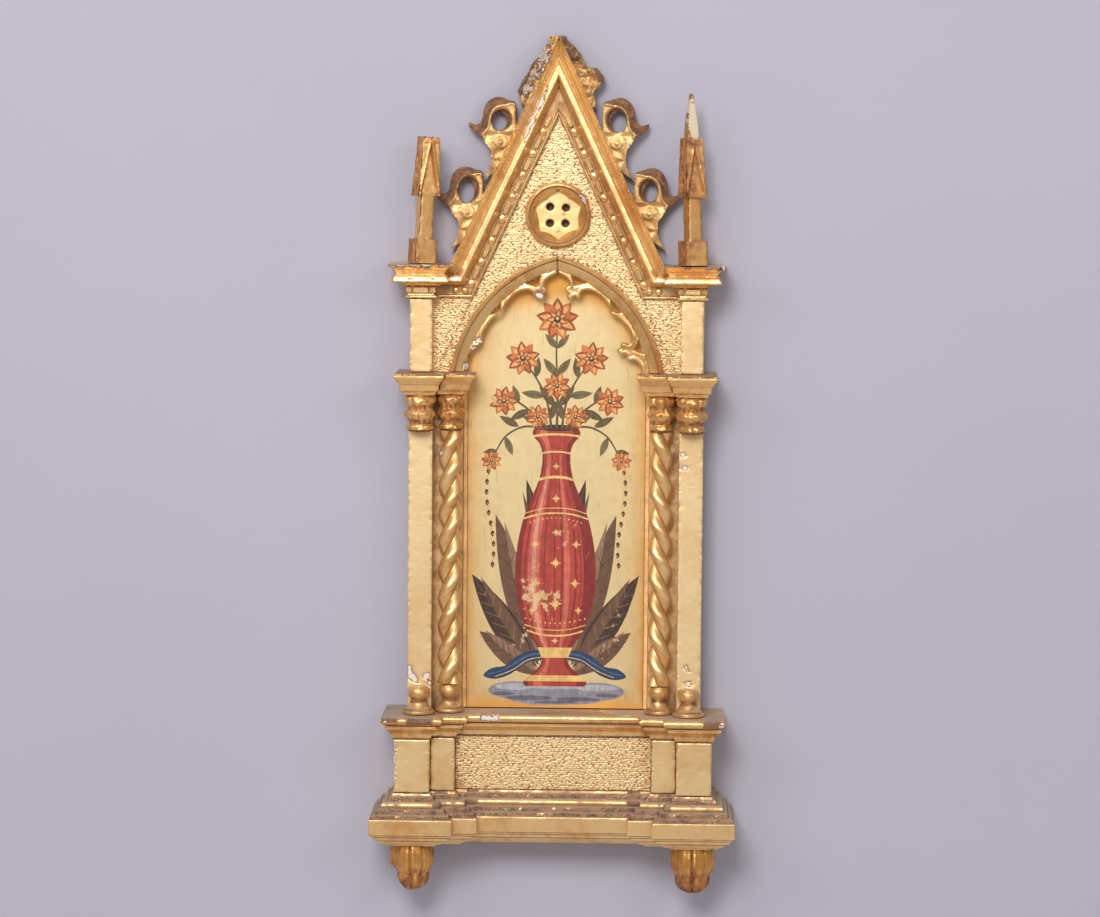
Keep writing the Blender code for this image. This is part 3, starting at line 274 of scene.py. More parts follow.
def aged_gilding_group():
    """Leaf over red bole over white gesso. It reads the marks that each piece carries:
    "wear" (red for edges, green for hollows, blue for chips) and "dirt", which on some pieces
    also holds painted shade."""
    group, given, put, places, (node, mix, ramp, times, peak, dots) = new_group("aged_gilding", {
        "Leaf": (0.92, 0.62, 0.29), "Deep": (0.63, 0.255, 0.055), "Bole": (0.30, 0.125, 0.050),
        "Dirt": (0.25, 0.125, 0.055), "Gesso": (0.80, 0.74, 0.70), "Dust": (0.42, 0.35, 0.29),
        "Rub": 0.35, "Toning": 0.5, "Settled": 0.4, "Shine": 0.30})
    wear = node("ShaderNodeAttribute", {}, attribute_name="wear", attribute_type="GEOMETRY")
    edge, hollow, chip = node("ShaderNodeSeparateColor", {0: wear.outputs["Color"]}).outputs[:3]
    dirt = node("ShaderNodeAttribute", {}, attribute_name="dirt",
                attribute_type="GEOMETRY").outputs["Fac"]
    cloud = dots(places, 32.0, 3.0, 0.55)
    mottle = dots(places, 210.0, 5.0, 0.68)
    grain = dots(places, 1300.0, 2.0, 0.5)
    tone = ramp(times(mottle, 0.9, times(cloud, 1.1)), 0.85, 1.30)
    tone = times(hollow, 0.8, times(tone, given["Toning"]), True)
    colour = mix(tone, given["Leaf"], given["Deep"])
    rubbed = times(grain, 0.3, times(mottle, 1.1, times(edge, 0.6)))
    rubbed = ramp(times(times(given["Rub"], -0.5, 1.37), -1.0, rubbed), 0.0, 0.25)
    colour = mix(rubbed, colour, given["Bole"])
    pits = node("ShaderNodeTexVoronoi", {"Vector": places, "Scale": 330.0}).outputs["Distance"]
    pit = times(ramp(pits, 0.13, 0.06), ramp(mottle, 0.55, 0.66))
    soiled = ramp(times(mottle, 0.8, times(hollow, 0.38, dirt)), 0.62, 1.05)
    soiled = peak(soiled, times(pit, 0.8))
    crumbs = ramp(times(grain, 0.6, mottle), 0.60, 1.00, 0.45, 1.70)
    soil = node("ShaderNodeVectorMath", {0: given["Dirt"], "Scale": crumbs}, operation="SCALE")
    colour = mix(soiled, colour, soil.outputs[0])
    facing = node("ShaderNodeNewGeometry", {}).outputs["Normal"]
    up = ramp(node("ShaderNodeSeparateXYZ", {0: facing}).outputs[2], 0.62, 0.97)
    dusty = times(up, ramp(times(mottle, 0.5, cloud), 0.50, 0.80))
    dusty = times(dusty, given["Settled"])
    colour = mix(dusty, colour, given["Dust"])
    broken = times(grain, 0.35, chip)
    rim = ramp(broken, 0.30, 0.42)
    colour = mix(rim, colour, given["Bole"])
    put("Color", mix(ramp(broken, 0.52, 0.66), colour, given["Gesso"]))
    dull = times(rubbed, 0.6, peak(rim, peak(soiled, dusty)), True)
    put("Metallic", ramp(dull, 0.0, 1.0, 0.76, 0.0))
    put("Roughness", times(dull, 0.35, times(mottle, 0.22, given["Shine"]), True))
    put("Height", times(pit, -0.6, times(grain, 0.25, mottle)))
    return group


AGED_GILDING = aged_gilding_group()


def gilding(name, bump=0.35, distance=0.0005, **values):
    """One finish of gold leaf, named for the pieces that have it."""
    made, tree, out = new_material(name)
    labels = {key.capitalize(): value for key, value in values.items()}
    skin(tree, out, use_group(tree, AGED_GILDING, labels), bump, distance)
    return made


def neighbour_mean(values, ends, count):
    """The mean of each vertex's neighbours."""
    total = np.zeros_like(values)
    for here, there in ((0, 1), (1, 0)):
        for axis in range(values.shape[1]):
            total[:, axis] += np.bincount(
                ends[:, here], values[ends[:, there], axis], minlength=len(values))
    return total / count[:, None]


def noise_at(places, size, seed=0.0):
    """Smooth noise about zero, whose lumps are about this size."""
    scale = 1.0 / size
    return np.array([noise.noise((x * scale + seed, y * scale, z * scale))
                     for x, y, z in places.tolist()])


def age(piece, dirt, chips=(), loss=0.00025, waver=0.00007, widen=2, sunken=None):
    """Wears a fine mesh as time did: rounds and nicks its edges, sinks the chips given as
    (x, y, z, radius, depth) in millimetres, and marks edges, hollows, chips and dirt for its
    finish. On some pieces the dirt mark also holds painted shade."""
    mesh = piece.data
    total = len(mesh.vertices)

    def read(items, key, width, kind):
        values = np.empty(len(items) * width, dtype=kind)
        items.foreach_get(key, values)
        return values.reshape(-1, width)

    places = read(mesh.vertices, "co", 3, float)
    outward = read(mesh.vertex_normals, "vector", 3, np.float32).astype(float)
    ends = read(mesh.edges, "vertices", 2, np.int32)
    count = np.bincount(ends.ravel(), minlength=total).clip(1)
    lengths = np.linalg.norm(places[ends[:, 0]] - places[ends[:, 1]], axis=1)
    reach = np.bincount(ends.ravel(), np.repeat(lengths, 2), minlength=total) / count
    bend = ((places - neighbour_mean(places, ends, count)) * outward).sum(axis=1)
    bend = (bend / reach.clip(1e-6))[:, None]
    for _ in range(widen):
        bend = 0.5 * bend + 0.5 * neighbour_mean(bend, ends, count)
    bend = bend[:, 0]
    edge, hollow = (bend * 4.0).clip(0, 1), (-bend * 4.5).clip(0, 1)
    coarse, fine = noise_at(places, 0.0045), noise_at(places, 0.0011, 7.0)
    sunk = edge * loss * (0.35 + 1.6 * (coarse + 0.6 * fine)).clip(0, 2)
    sunk += waver * (coarse + 0.35 * fine)
    broken = np.zeros(total)
    for x, y, z, radius, depth in np.array(chips) / 1000:
        away = np.linalg.norm((places - (x, y, z)), axis=1) / radius
        inside = (1.25 - away + 0.7 * coarse + 0.45 * fine).clip(0, 1)
        broken = np.maximum(broken, inside)
        sunk = np.maximum(sunk, depth * (inside * 2).clip(0, 1) * (1 + 0.5 * fine))
    places -= outward * sunk[:, None]
    places = places.clip(cad_box[0], cad_box[1])
    mesh.vertices.foreach_set("co", places.ravel())
    if sunken:
        hollow = np.maximum(hollow * 0.4, sunken(places))
    marks = np.column_stack((edge, hollow, broken, np.ones(total))).astype(np.float32)
    mesh.attributes.new("wear", "FLOAT_COLOR", "POINT").data.foreach_set("color", marks.ravel())
    soil = np.asarray(dirt(places), dtype=float).clip(0, 1)
    mesh.attributes.new("dirt", "FLOAT", "POINT").data.foreach_set("value", soil)
    mesh.update()


def make_piece(name, shell, finish, flat=35.0, **wear):
    """A piece from its points and faces, worn as given, with the finish given. It rides with the
    plaque and stands for the solid of that name, which it hides."""
    mesh = bpy.data.meshes.new(f"gilt_{name}")
    mesh.from_pydata([tuple(point) for point in shell[0]], [], shell[1])
    mesh.validate()
    mesh.shade_smooth()
    mesh.set_sharp_from_angle(angle=math.radians(flat))
    mesh.materials.append(finish)
    piece = bpy.data.objects.new(f"gilt_{name}", mesh)
    bpy.context.scene.collection.objects.link(piece)
    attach(piece, "root")
    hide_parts(name)
    if wear:
        age(piece, **wear)
    return piece


def distance_to(points, loops):
    """How far each (x, z) point is from the nearest outline."""
    nearest = np.full(len(points), 9.0)
    for loop in loops:
        start = np.array(loop)
        run = np.roll(start, -1, axis=0) - start
        for (x, z), (dx, dz) in zip(start, run):
            square = dx * dx + dz * dz
            if square < 1e-14:
                continue
            share = (((points[:, 0] - x) * dx + (points[:, 1] - z) * dz) / square).clip(0, 1)
            far = np.hypot(points[:, 0] - x - share * dx, points[:, 1] - z - share * dz)
            nearest = np.minimum(nearest, far)
    return nearest


def inside_of(points, loop):
    """Which (x, z) points a closed outline holds."""
    held = np.zeros(len(points), dtype=bool)
    for (x1, z1), (x2, z2) in zip(loop, loop[1:] + loop[:1]):
        if z1 == z2:
            continue
        crosses = (z1 > points[:, 1]) != (z2 > points[:, 1])
        at = x1 + (points[:, 1] - z1) * (x2 - x1) / (z2 - z1)
        held ^= crosses & (points[:, 0] < at)
    return held


def divide(loop, step):
    """The same closed outline, with no straight longer than the step."""
    made = []
    for (x1, z1), (x2, z2) in zip(loop, loop[1:] + loop[:1]):
        pieces = max(1, math.ceil(math.hypot(x2 - x1, z2 - z1) / step))
        for i in range(pieces):
            made.append((x1 + (x2 - x1) * i / pieces, z1 + (z2 - z1) * i / pieces))
    return made


def cut_flat(loops, net, fuzz):
    """Triangles over the outlines and the net between them, and where each outline's points
    went."""
    flat, edges, where = [], [], {}
    for loop in loops:
        first, count = len(flat), len(loop)
        edges += [(first + i, first + (i + 1) % count) for i in range(count)]
        flat += loop
    made = delaunay_2d_cdt([Vector(point) for point in flat + net.tolist()], edges, [], 0, fuzz)
    points = np.array([tuple(point) for point in made[0]])
    faces = np.array([face for face in made[2] if len(face) == 3])
    turn = np.cross(points[faces[:, 1]] - points[faces[:, 0]],
                    points[faces[:, 2]] - points[faces[:, 0]])
    faces[turn < 0] = faces[turn < 0][:, ::-1]
    for index, sources in enumerate(made[3]):
        for source in sources:
            where[source] = index
    return points, faces, [where[i] for i in range(len(flat))]


def add_walls(body, shell, loops, ring, back):
    """Walls from each outline of the face straight back. The last one's rear points come back."""
    for loop in loops:
        count, first = len(loop), len(body)
        body += [(x, back, z) for x, z in loop]
        for i in range(count):
            j = (i + 1) % count
            if ring[i] != ring[j]:
                shell.append((ring[i], ring[j], first + j, first + i))
        ring = ring[count:]
    return tuple(range(first, first + count))


def carved_plate(loops, front, back, grain, rounding=0.0, relief=None, worked=None):
    """A plate cut to outlines of (x, z), the first outside and the rest holes. Its face is a
    fine net of points, rounded off at the edges and raised by the relief. The net is laid
    only over the worked part, where one is given."""
    loops = [divide(loop, grain * 1.6) for loop in loops]
    outer = np.array(loops[0])
    low, high = outer.min(axis=0), outer.max(axis=0)
    dice = np.random.default_rng(5)
    across, up = np.meshgrid(np.arange(low[0], high[0], grain),
                             np.arange(low[1], high[1], grain * 0.866))
    across = across + (np.arange(len(across))[:, None] % 2) * grain / 2
    net = np.column_stack((across.ravel(), up.ravel()))
    net += dice.uniform(-0.12, 0.12, net.shape) * grain
    if worked is not None:
        net = net[worked(net)]

    def solid(places):
        held = inside_of(places, loops[0])
        for loop in loops[1:]:
            held &= ~inside_of(places, loop)
        return held

    net = net[solid(net)]
    net = net[distance_to(net, loops) > grain * 0.45]
    points, faces, ring = cut_flat(loops, net, 1e-8)
    faces = faces[solid(points[faces].mean(axis=1))]
    depth = distance_to(points, loops)
    level = np.full(len(points), front)
    if rounding:
        share = (1 - depth / rounding).clip(0, 1)
        level += rounding * (1 - np.sqrt(1 - share ** 2)) * 0.8
    if relief is not None:
        level -= relief(points, depth)
    body = [(x, y, z) for (x, z), y in zip(points.tolist(), level.tolist())]
    shell = [tuple(face) for face in faces.tolist()]
    add_walls(body, shell, loops, ring, back)
    return body, shell


GAP = 0.0003
BACK_BOARD_FACE = -0.0050
BOARD_FACE = -0.0150
GROUND = -0.0153
SILL_TOP = -0.2867
ABACUS_TOP = -0.0879
ARCH_CENTRE = (-0.0205, -0.1006)
ARCH_RADIUS = 0.0834
ARCH_MOULDING_WIDTH = 0.0084
GABLE_ANGLE = math.radians(25.0)
GABLE_APEX = 0.0608
GABLE_OUTER_APEX = 0.1072
GABLE_CORNER = 0.0492
MOULDING_WIDTH = 0.0196
CORNICE_BOTTOM = -0.0447
CORNICE_TOP = -0.0251
BOARD_HALF_WIDTH = 0.08555
STRIP_INNER, STRIP_OUTER = 0.0720, 0.0850
ROUNDEL_Z = 0.0035
ROUNDEL_RADIUS = 0.0190
ROUNDEL_BORE = 0.0152
STIPPLE_PITCH = 0.00138
STIPPLE_DEPTH = 0.00036
BOARD_SEED, PREDELLA_SEED = 3, 11


def board_outline():
    shoulder, notch = CORNICE_BOTTOM - GAP, STRIP_INNER - GAP
    head = CORNICE_TOP - GAP
    foot = (GABLE_OUTER_APEX - CORNICE_TOP) * math.tan(GABLE_ANGLE) - GAP
    half = [(BOARD_HALF_WIDTH, SILL_TOP + GAP), (BOARD_HALF_WIDTH, shoulder), (notch, shoulder),
            (notch, head), (foot, head)]
    apex = (0.0, GABLE_OUTER_APEX - GAP / math.sin(GABLE_ANGLE))
    return half + [apex] + [(-x, z) for x, z in reversed(half)]


def opening_outline(inset, bottom):
    """The pointed opening, smaller all round by the inset."""
    radius = ARCH_RADIUS - ARCH_MOULDING_WIDTH - inset
    crown = math.acos(-ARCH_CENTRE[0] / radius)
    half = [(radius + ARCH_CENTRE[0], bottom)]
    for i in range(30):
        angle = crown * i / 30
        half.append((ARCH_CENTRE[0] + radius * math.cos(angle),
                     ARCH_CENTRE[1] + radius * math.sin(angle)))
    return half + [(0.0, ARCH_CENTRE[1] + radius * math.sin(crown))] + [
        (-x, z) for x, z in reversed(half)]


def oval(x, z, wide, tall, count=16):
    return [(x + wide * math.cos(2 * math.pi * i / count),
             z + tall * math.sin(2 * math.pi * i / count)) for i in range(count)]


def punched(points, seed):
    """The punched ground: close-set round grains of uneven size, 0 to 1. The tables of their
    places and heights repeat far apart."""
    wide, tall = 97, 113
    dice = np.random.default_rng(seed)
    table = dice.uniform(-0.32, 0.32, (wide, tall, 2))
    heights = dice.uniform(0.70, 1.0, (wide, tall))
    cell = points / (STIPPLE_PITCH, STIPPLE_PITCH * 0.9)
    cell[:, 0] += 0.5 * (np.floor(cell[:, 1]).astype(int) % 2)
    base = np.floor(cell).astype(int)
    raised = np.zeros(len(points))
    for i in (-1, 0, 1):
        for j in (-1, 0, 1):
            home = base + (i, j)
            which = (home[:, 0] % wide, home[:, 1] % tall)
            far = np.linalg.norm(home + 0.5 + table[which] - cell, axis=1)
            grain = heights[which] * np.sqrt((1 - (far / 0.60) ** 2).clip(0, 1))
            raised = np.maximum(raised, grain)
    return raised


def punched_area(points):
    """The gable within its mouldings, and the two corners over the arch."""
    x = np.abs(points[:, 0])
    under = (GABLE_APEX - points[:, 1]) * math.tan(GABLE_ANGLE) + 0.002
    over_arch = np.hypot(x - ARCH_CENTRE[0], points[:, 1] - ARCH_CENTRE[1]) > ARCH_RADIUS - 0.003
    over_arch |= points[:, 1] < ARCH_CENTRE[1]
    gable = (x < under) & (points[:, 1] > CORNICE_BOTTOM)
    corners = (points[:, 1] <= CORNICE_BOTTOM + 0.001) & (points[:, 1] > ABACUS_TOP - 0.003)
    corners &= x < STRIP_INNER + 0.001
    return over_arch & (gable | corners)


def flat_noise(points, scale, seed, shift=0):
    return np.array([noise.noise((x * scale + shift, seed, z * scale))
                     for x, z in points.tolist()])


def fade(value, reach):
    """1 up to zero, falling off evenly to 0 at this reach."""
    return (1 - value / reach).clip(0, 1)


def near(value, middle, half):
    """1 at the middle, falling off evenly to 0 this far from it."""
    return fade(np.abs(value - middle), half)


def most(*marks):
    return np.maximum.reduce(marks)


def board_relief(points, depth):
    """Punching, which fades out towards the edges of the plate."""
    rough = punched(points, BOARD_SEED) * punched_area(points)
    broad = flat_noise(points, 300, 0.0)
    return STIPPLE_DEPTH * (rough * (0.75 + 0.5 * broad) - 0.9) * (depth > 0.0006)


def board_dirt_and_shade(places):
    """Darker along the mouldings, dirt between the grains, and painted shade on the board
    behind the columns, out to the pilasters.
    """
    x, z = np.abs(places[:, 0]), places[:, 2]
    rake = np.abs((GABLE_APEX - z) * math.tan(GABLE_ANGLE) - x) * math.cos(GABLE_ANGLE)
    arch = np.abs(np.hypot(x - ARCH_CENTRE[0], z - ARCH_CENTRE[1]) - ARCH_RADIUS)
    ring = np.abs(np.hypot(x, z - ROUNDEL_Z) - ROUNDEL_RADIUS)
    soft = 0.36 * near(np.minimum(np.minimum(rake, arch), ring), 0, 0.0030)
    flat = places[:, [0, 2]]
    between = 0.44 * (punched(flat, BOARD_SEED) < 0.10) * punched_area(flat)
    # Painted shade: the board behind the columns and beside the pilasters is darkened.
    return most(soft, between, 0.48 * (x > 0.0560) * (z < ABACUS_TOP))


def between_grains(places, seed):
    """The hollows between the punched grains."""
    return 0.85 * fade(punched(places[:, [0, 2]], seed), 0.7)


punched_gold = gilding("punched_gold", bump=0.35, distance=0.0003, toning=0.30, rub=0.05,
                       leaf=(0.92, 0.69, 0.38), deep=(0.68, 0.37, 0.13), shine=0.36)
outline, opening = board_outline(), opening_outline(0.0, SILL_TOP + GAP)
bore = oval(0.0, ROUNDEL_Z, ROUNDEL_BORE + GAP, ROUNDEL_BORE + GAP, 72)
shell = carved_plate([outline + opening[::-1], bore], BOARD_FACE, BACK_BOARD_FACE - GAP, 0.00040,
                     relief=board_relief, worked=punched_area)
make_piece("front_board", shell, punched_gold, flat=60, loss=0.0, waver=0.00005,
           dirt=board_dirt_and_shade, widen=0,
           sunken=lambda places: between_grains(places, BOARD_SEED) * punched_area(
               places[:, [0, 2]]))


# The painted panel: a thin board in the niche, gilt all over and burnished, then painted in
# egg tempera. The picture here is a plain arrangement of a red fluted vase with gold stars,
# brown leaves, blue ribbons and orange blossoms. It is all colour, flush with the ground.

PANEL_FACE = -0.0079
RED, RED_LIT, RED_DARK = (0.470, 0.058, 0.038), (0.640, 0.150, 0.095), (0.250, 0.022, 0.018)
BROWN, BROWN_LIT, BROWN_DARK = (0.160, 0.076, 0.042), (0.300, 0.170, 0.100), (0.062, 0.028, 0.018)
BLUE, BLUE_LIT = (0.022, 0.050, 0.125), (0.075, 0.135, 0.230)
STONE, STONE_LIT, STONE_DARK = (0.290, 0.285, 0.345), (0.470, 0.460, 0.510), (0.150, 0.145, 0.185)
ORANGE, ORANGE_LIT = (0.640, 0.190, 0.045), (0.830, 0.430, 0.150)
ORANGE_DARK = (0.360, 0.075, 0.022)
STEM, LEAF_GREEN = (0.130, 0.085, 0.032), (0.185, 0.150, 0.060)
SHELL_GOLD, STRIP_GOLD = (0.860, 0.560, 0.190), (1.0, 0.60, 0.25)
PICTURE_FOOT = SILL_TOP + GAP
strokes = []


def paint(outline, colour, both=False):
    """One stroke of paint, in millimetres from the middle and from the panel's foot, and the
    same on the other side where the arrangement is even."""
    for side in (1, -1) if both else (1,):
        strokes.append(([(side * x / 1000, PICTURE_FOOT + up / 1000) for x, up in outline],
                        colour))


def touch(x, up, angle, length, width, points=7):
    """A pointed stroke, like a leaf or a petal, from its root."""
    turn = math.radians(angle)
    sides = [[], []]
    for i in range(points + 1):
        share = i / points
        half = width / 2 * math.sin(math.pi * share ** 0.85) ** 0.9
        for number, way in ((0, 1), (1, -1)):
            sides[number].append((
                x + length * share * math.cos(turn) - way * half * math.sin(turn),
                up + length * share * math.sin(turn) + way * half * math.cos(turn)))
    return sides[0] + sides[1][::-1][1:-1]


def through(points, count=3):
    """A smooth line through the points."""
    made = []
    for i in range(len(points) - 1):
        line = [np.array(points[max(0, min(len(points) - 1, i + k))]) for k in (-1, 0, 1, 2)]
        for step in range(count):
            t = step / count
            made.append(tuple(0.5 * (
                2 * line[1] + (line[2] - line[0]) * t
                + (2 * line[0] - 5 * line[1] + 4 * line[2] - line[3]) * t ** 2
                + (3 * line[1] - line[0] - 3 * line[2] + line[3]) * t ** 3)))
    made.append(tuple(points[-1]))
    return made


def closed_through(points, count=3):
    loop = list(points)
    return through([loop[-1]] + loop + loop[:2], count)[count:-count - 1]


def drawn(line, start, end):
    """A brush line along the points, from one width to another."""
    line = through(line, 5)
    left, right = [], []
    for i, (x, up) in enumerate(line):
        before, after = line[max(0, i - 1)], line[min(len(line) - 1, i + 1)]
        dx, du = after[0] - before[0], after[1] - before[1]
        long = math.hypot(dx, du) or 1.0
        half = (start + (end - start) * i / (len(line) - 1)) / 2
        left.append((x - du / long * half, up + dx / long * half))
        right.append((x + du / long * half, up - dx / long * half))
    return left + right[::-1]


VASE = ((17.5, 13.0), (18.6, 16.0), (14.5, 19.5), (9.0, 25.0), (7.6, 30.0), (10.0, 36.0),
        (16.6, 46.0), (21.6, 60.0), (23.6, 75.0), (23.0, 92.0), (19.6, 110.0), (14.4, 124.0),
        (10.4, 134.0), (8.6, 142.0), (8.2, 150.0), (9.8, 156.0), (13.2, 160.0), (14.0, 163.0),
        (12.6, 165.5))


def vase_band(inner, outer, low=0, high=len(VASE) - 1):
    """A strip of the vase between two shares of its half width, over some of its height."""
    line = through(VASE[low:high + 1], 4)
    return [(half * inner, up) for half, up in line] + [
        (half * outer, up) for half, up in line[::-1]]


def star(x, up, size):
    for k in range(8):
        reach = size if k % 2 == 0 else size * 0.62
        paint(touch(x, up, 45 * k, reach, size * 0.30, 4), SHELL_GOLD)


def blossom(x, up, size, turn, both):
    for k in range(9):
        angle = turn + 40 * k
        paint(touch(x, up, angle, size, size * 0.56), ORANGE if k % 2 else ORANGE_DARK, both)
        paint(touch(x, up, angle, size * 0.86, size * 0.30), ORANGE_LIT if k % 3 else ORANGE,
              both)
    for k in range(7):
        paint(touch(x, up, turn + 20 + 51.4 * k, size * 0.52, size * 0.28), ORANGE_DARK, both)
        paint(touch(x, up, turn + 20 + 51.4 * k, size * 0.44, size * 0.14), ORANGE_LIT, both)
    paint(oval(x, up, size * 0.17, size * 0.17, 12), BROWN_DARK, both)
    paint(oval(x, up + size * 0.04, size * 0.08, size * 0.08, 8), SHELL_GOLD, both)


# The plain strips down both sides of the picture, each with a dark line of painted shadow along
# its inner edge
for edge in (1, -1):
    for near_edge, far_edge, colour in ((52.0, 55, STRIP_GOLD), (51.7, 52.1, BROWN)):
        paint([(edge * near_edge, 0), (edge * far_edge, 0), (edge * far_edge, 187),
               (edge * near_edge, 187)], colour)

# The stone step
for colour, count, places in (
        (STONE, 30, ((0, 9, 31, 7.0), (-23, 10.5, 16, 5.2), (24, 10, 17, 5.4),
                     (-8, 6.5, 20, 4.6), (12, 6.5, 18, 4.2))),
        (STONE_LIT, 24, ((-24, 12.6, 11, 2.0), (25, 12.2, 12, 2.0), (0, 13.2, 20, 1.8))),
        (STONE_DARK, 24, ((-15, 6.0, 14, 1.5), (14, 5.4, 13, 1.3), (-30, 8.4, 7, 1.1),
                          (31, 7.8, 7, 1.1), (0, 3.6, 12, 0.9)))):
    for place in places:
        paint(oval(*place, count), colour)

# Long brown leaves behind the vase, each with its midrib and side veins
for x, up, angle, length, width, colour in (
        (6, 34, 103, 104, 15, BROWN_DARK), (10, 26, 74, 92, 16, BROWN),
        (12, 22, 57, 68, 16, BROWN_DARK), (11, 20, 37, 42, 13, BROWN),
        (7, 40, 84, 70, 11, ORANGE_DARK)):
    dx, du = math.cos(math.radians(angle)), math.sin(math.radians(angle))
    paint(touch(x, up, angle, length, width, 14), colour, True)
    paint(touch(x - 0.14 * width * du, up + 0.14 * width * dx, angle + 1, length * 0.94,
                width * 0.42, 12), BROWN_LIT if colour == BROWN else BROWN, True)
    paint(drawn(((x, up), (x + dx * length * 0.95, up + du * length * 0.95)), 1.2, 0.4),
          ORANGE_LIT if colour == ORANGE_DARK else STEM, True)
    for k in range(2, 8):
        root = (x + dx * length * k / 9, up + du * length * k / 9)
        reach = 0.40 * width * math.sin(math.pi * k / 9)
        for turn in (38, -38):
            lean = math.radians(angle + turn)
            paint(drawn((root, (root[0] + 1.5 * reach * math.cos(lean),
                                root[1] + 1.5 * reach * math.sin(lean))), 0.5, 0.2),
                  BROWN_LIT if colour != BROWN else BROWN_DARK, True)

# Blue ribbons that fall from the foot
ribbon = ((7, 29), (16, 27), (26, 20), (35, 17), (42, 19), (37, 23.5), (29, 25), (22, 31),
          (14, 34), (7, 34))
paint(closed_through(ribbon), BLUE, True)
paint(drawn(((8, 32.4), (16, 31), (24, 26), (33, 21.4), (40, 19.6)), 1.3, 0.5), BLUE_LIT, True)
paint(drawn(((8, 30.2), (16, 28.4), (25, 22.4), (35, 18.4)), 0.5, 0.4), SHELL_GOLD, True)

# The vase
paint(vase_band(-1.0, 1.0), RED)
paint(vase_band(-1.0, -0.86), RED_DARK)
paint(vase_band(0.70, 1.0), RED_DARK)
paint(vase_band(-0.68, -0.40), RED_LIT)
paint(vase_band(-0.60, -0.50, 5, 13), (0.76, 0.30, 0.22))
paint(vase_band(0.22, 0.36, 5, 14), RED_LIT)
for share, width in ((-0.76, 0.030), (-0.30, 0.034), (-0.04, 0.026), (0.14, 0.040),
                     (0.48, 0.044), (0.62, 0.026), (0.84, 0.030)):
    paint(vase_band(share, share + width, 4, 15), RED_DARK)
for low, high in ((1, 2), (4, 5)):
    line = VASE[low:high + 1]
    paint([(-half * 1.02, up) for half, up in line] + [
        (half * 1.02, up) for half, up in line[::-1]], SHELL_GOLD)
for up, half, sag, width in (
        (46.0, 16.5, 3.0, 1.0), (49.5, 17.9, 3.2, 0.5), (112.0, 19.0, -3.4, 1.0),
        (115.2, 17.8, -3.2, 0.5), (135.0, 10.2, -1.6, 1.5), (150.5, 8.4, -1.0, 1.0),
        (160.5, 13.6, -1.2, 1.3)):
    paint(drawn(((-half, up), (-half * 0.5, up - sag * 0.8), (0, up - sag),
                 (half * 0.5, up - sag * 0.8), (half, up)), width, width), SHELL_GOLD)
for x, up, size in ((0, 62, 4.2), (-11.5, 74, 3.0), (11.5, 74, 3.0), (0, 86, 3.4),
                    (-12.5, 97, 2.7), (12.0, 97, 2.7), (0, 104, 2.4), (-13.5, 58, 2.4),
                    (13.5, 58, 2.4), (0, 124, 2.6), (0, 143, 2.2), (0, 40, 2.2)):
    star(x, up, size)
for k in range(-6, 7):
    up = 53.6 - 3.3 * math.cos(k * math.pi / 13)
    paint(oval(k * 2.9, up, 0.45, 0.6, 6), SHELL_GOLD)
    paint(oval(k * 2.5, 109.4 + 3.2 * math.cos(k * math.pi / 13), 0.4, 0.5, 6), SHELL_GOLD)
paint(oval(0, 165.5, 12.4, 1.9, 24), BROWN_DARK)

# Stems, leaves, berries and blossoms
stems = (((0, 165), (0.6, 184), (-0.4, 206), (0, 226)),
         ((3, 165), (6, 182), (13, 196), (20, 204)),
         ((5, 165), (14, 174), (24, 181), (31, 181)),
         ((7, 165), (19, 166), (30, 160), (37, 148)))
for number, line in enumerate(stems):
    paint(drawn(line, 1.5, 0.8), STEM, number > 0)
for x, up, angle, length, width, pale in (
        (1, 178, 52, 15, 5.0, 0), (0, 196, 128, 13, 4.6, 1), (7, 184, 8, 14, 4.8, 1),
        (12, 195, 96, 12, 4.2, 0), (16, 176, -28, 13, 4.6, 0), (22, 180, 70, 11, 4.0, 1),
        (22, 166, 28, 13, 4.4, 0), (30, 160, -112, 12, 4.2, 1), (35, 152, -10, 8, 3.2, 0),
        (0, 212, 50, 11, 4.0, 1), (9, 168, 20, 12, 4.2, 1), (4, 170, 108, 12, 4.4, 0)):
    paint(touch(x, up, angle, length, width), LEAF_GREEN if pale else STEM, True)
    paint(drawn(((x, up), (x + length * 0.85 * math.cos(math.radians(angle)),
                           up + length * 0.85 * math.sin(math.radians(angle)))), 0.5, 0.2),
          BROWN_DARK if pale else LEAF_GREEN, True)
for k in range(11):
    x, up = 38.5 + 2.2 * math.sin(k * 0.55), 146 - 6.1 * k
    paint(drawn(((x, up), (38.5 + 2.2 * math.sin((k + 1) * 0.55), up - 6.1)), 0.35, 0.35),
          SHELL_GOLD, True)
    paint(touch(x, up + 1.6, -90, 3.8, 2.2, 5), BROWN_DARK, True)
    paint(oval(x - 0.3, up - 0.6, 0.35, 0.5, 6), ORANGE_LIT, True)
for x, up, size, turn, both in ((38, 146, 6.2, 8, True), (31, 181, 8.8, 20, True),
                                (20, 206, 10.2, 4, True), (0, 229, 12.6, 10, False),
                                (0, 190, 8.4, 30, False), (11, 172, 7.4, 14, True)):
    blossom(x, up, size, turn, both)


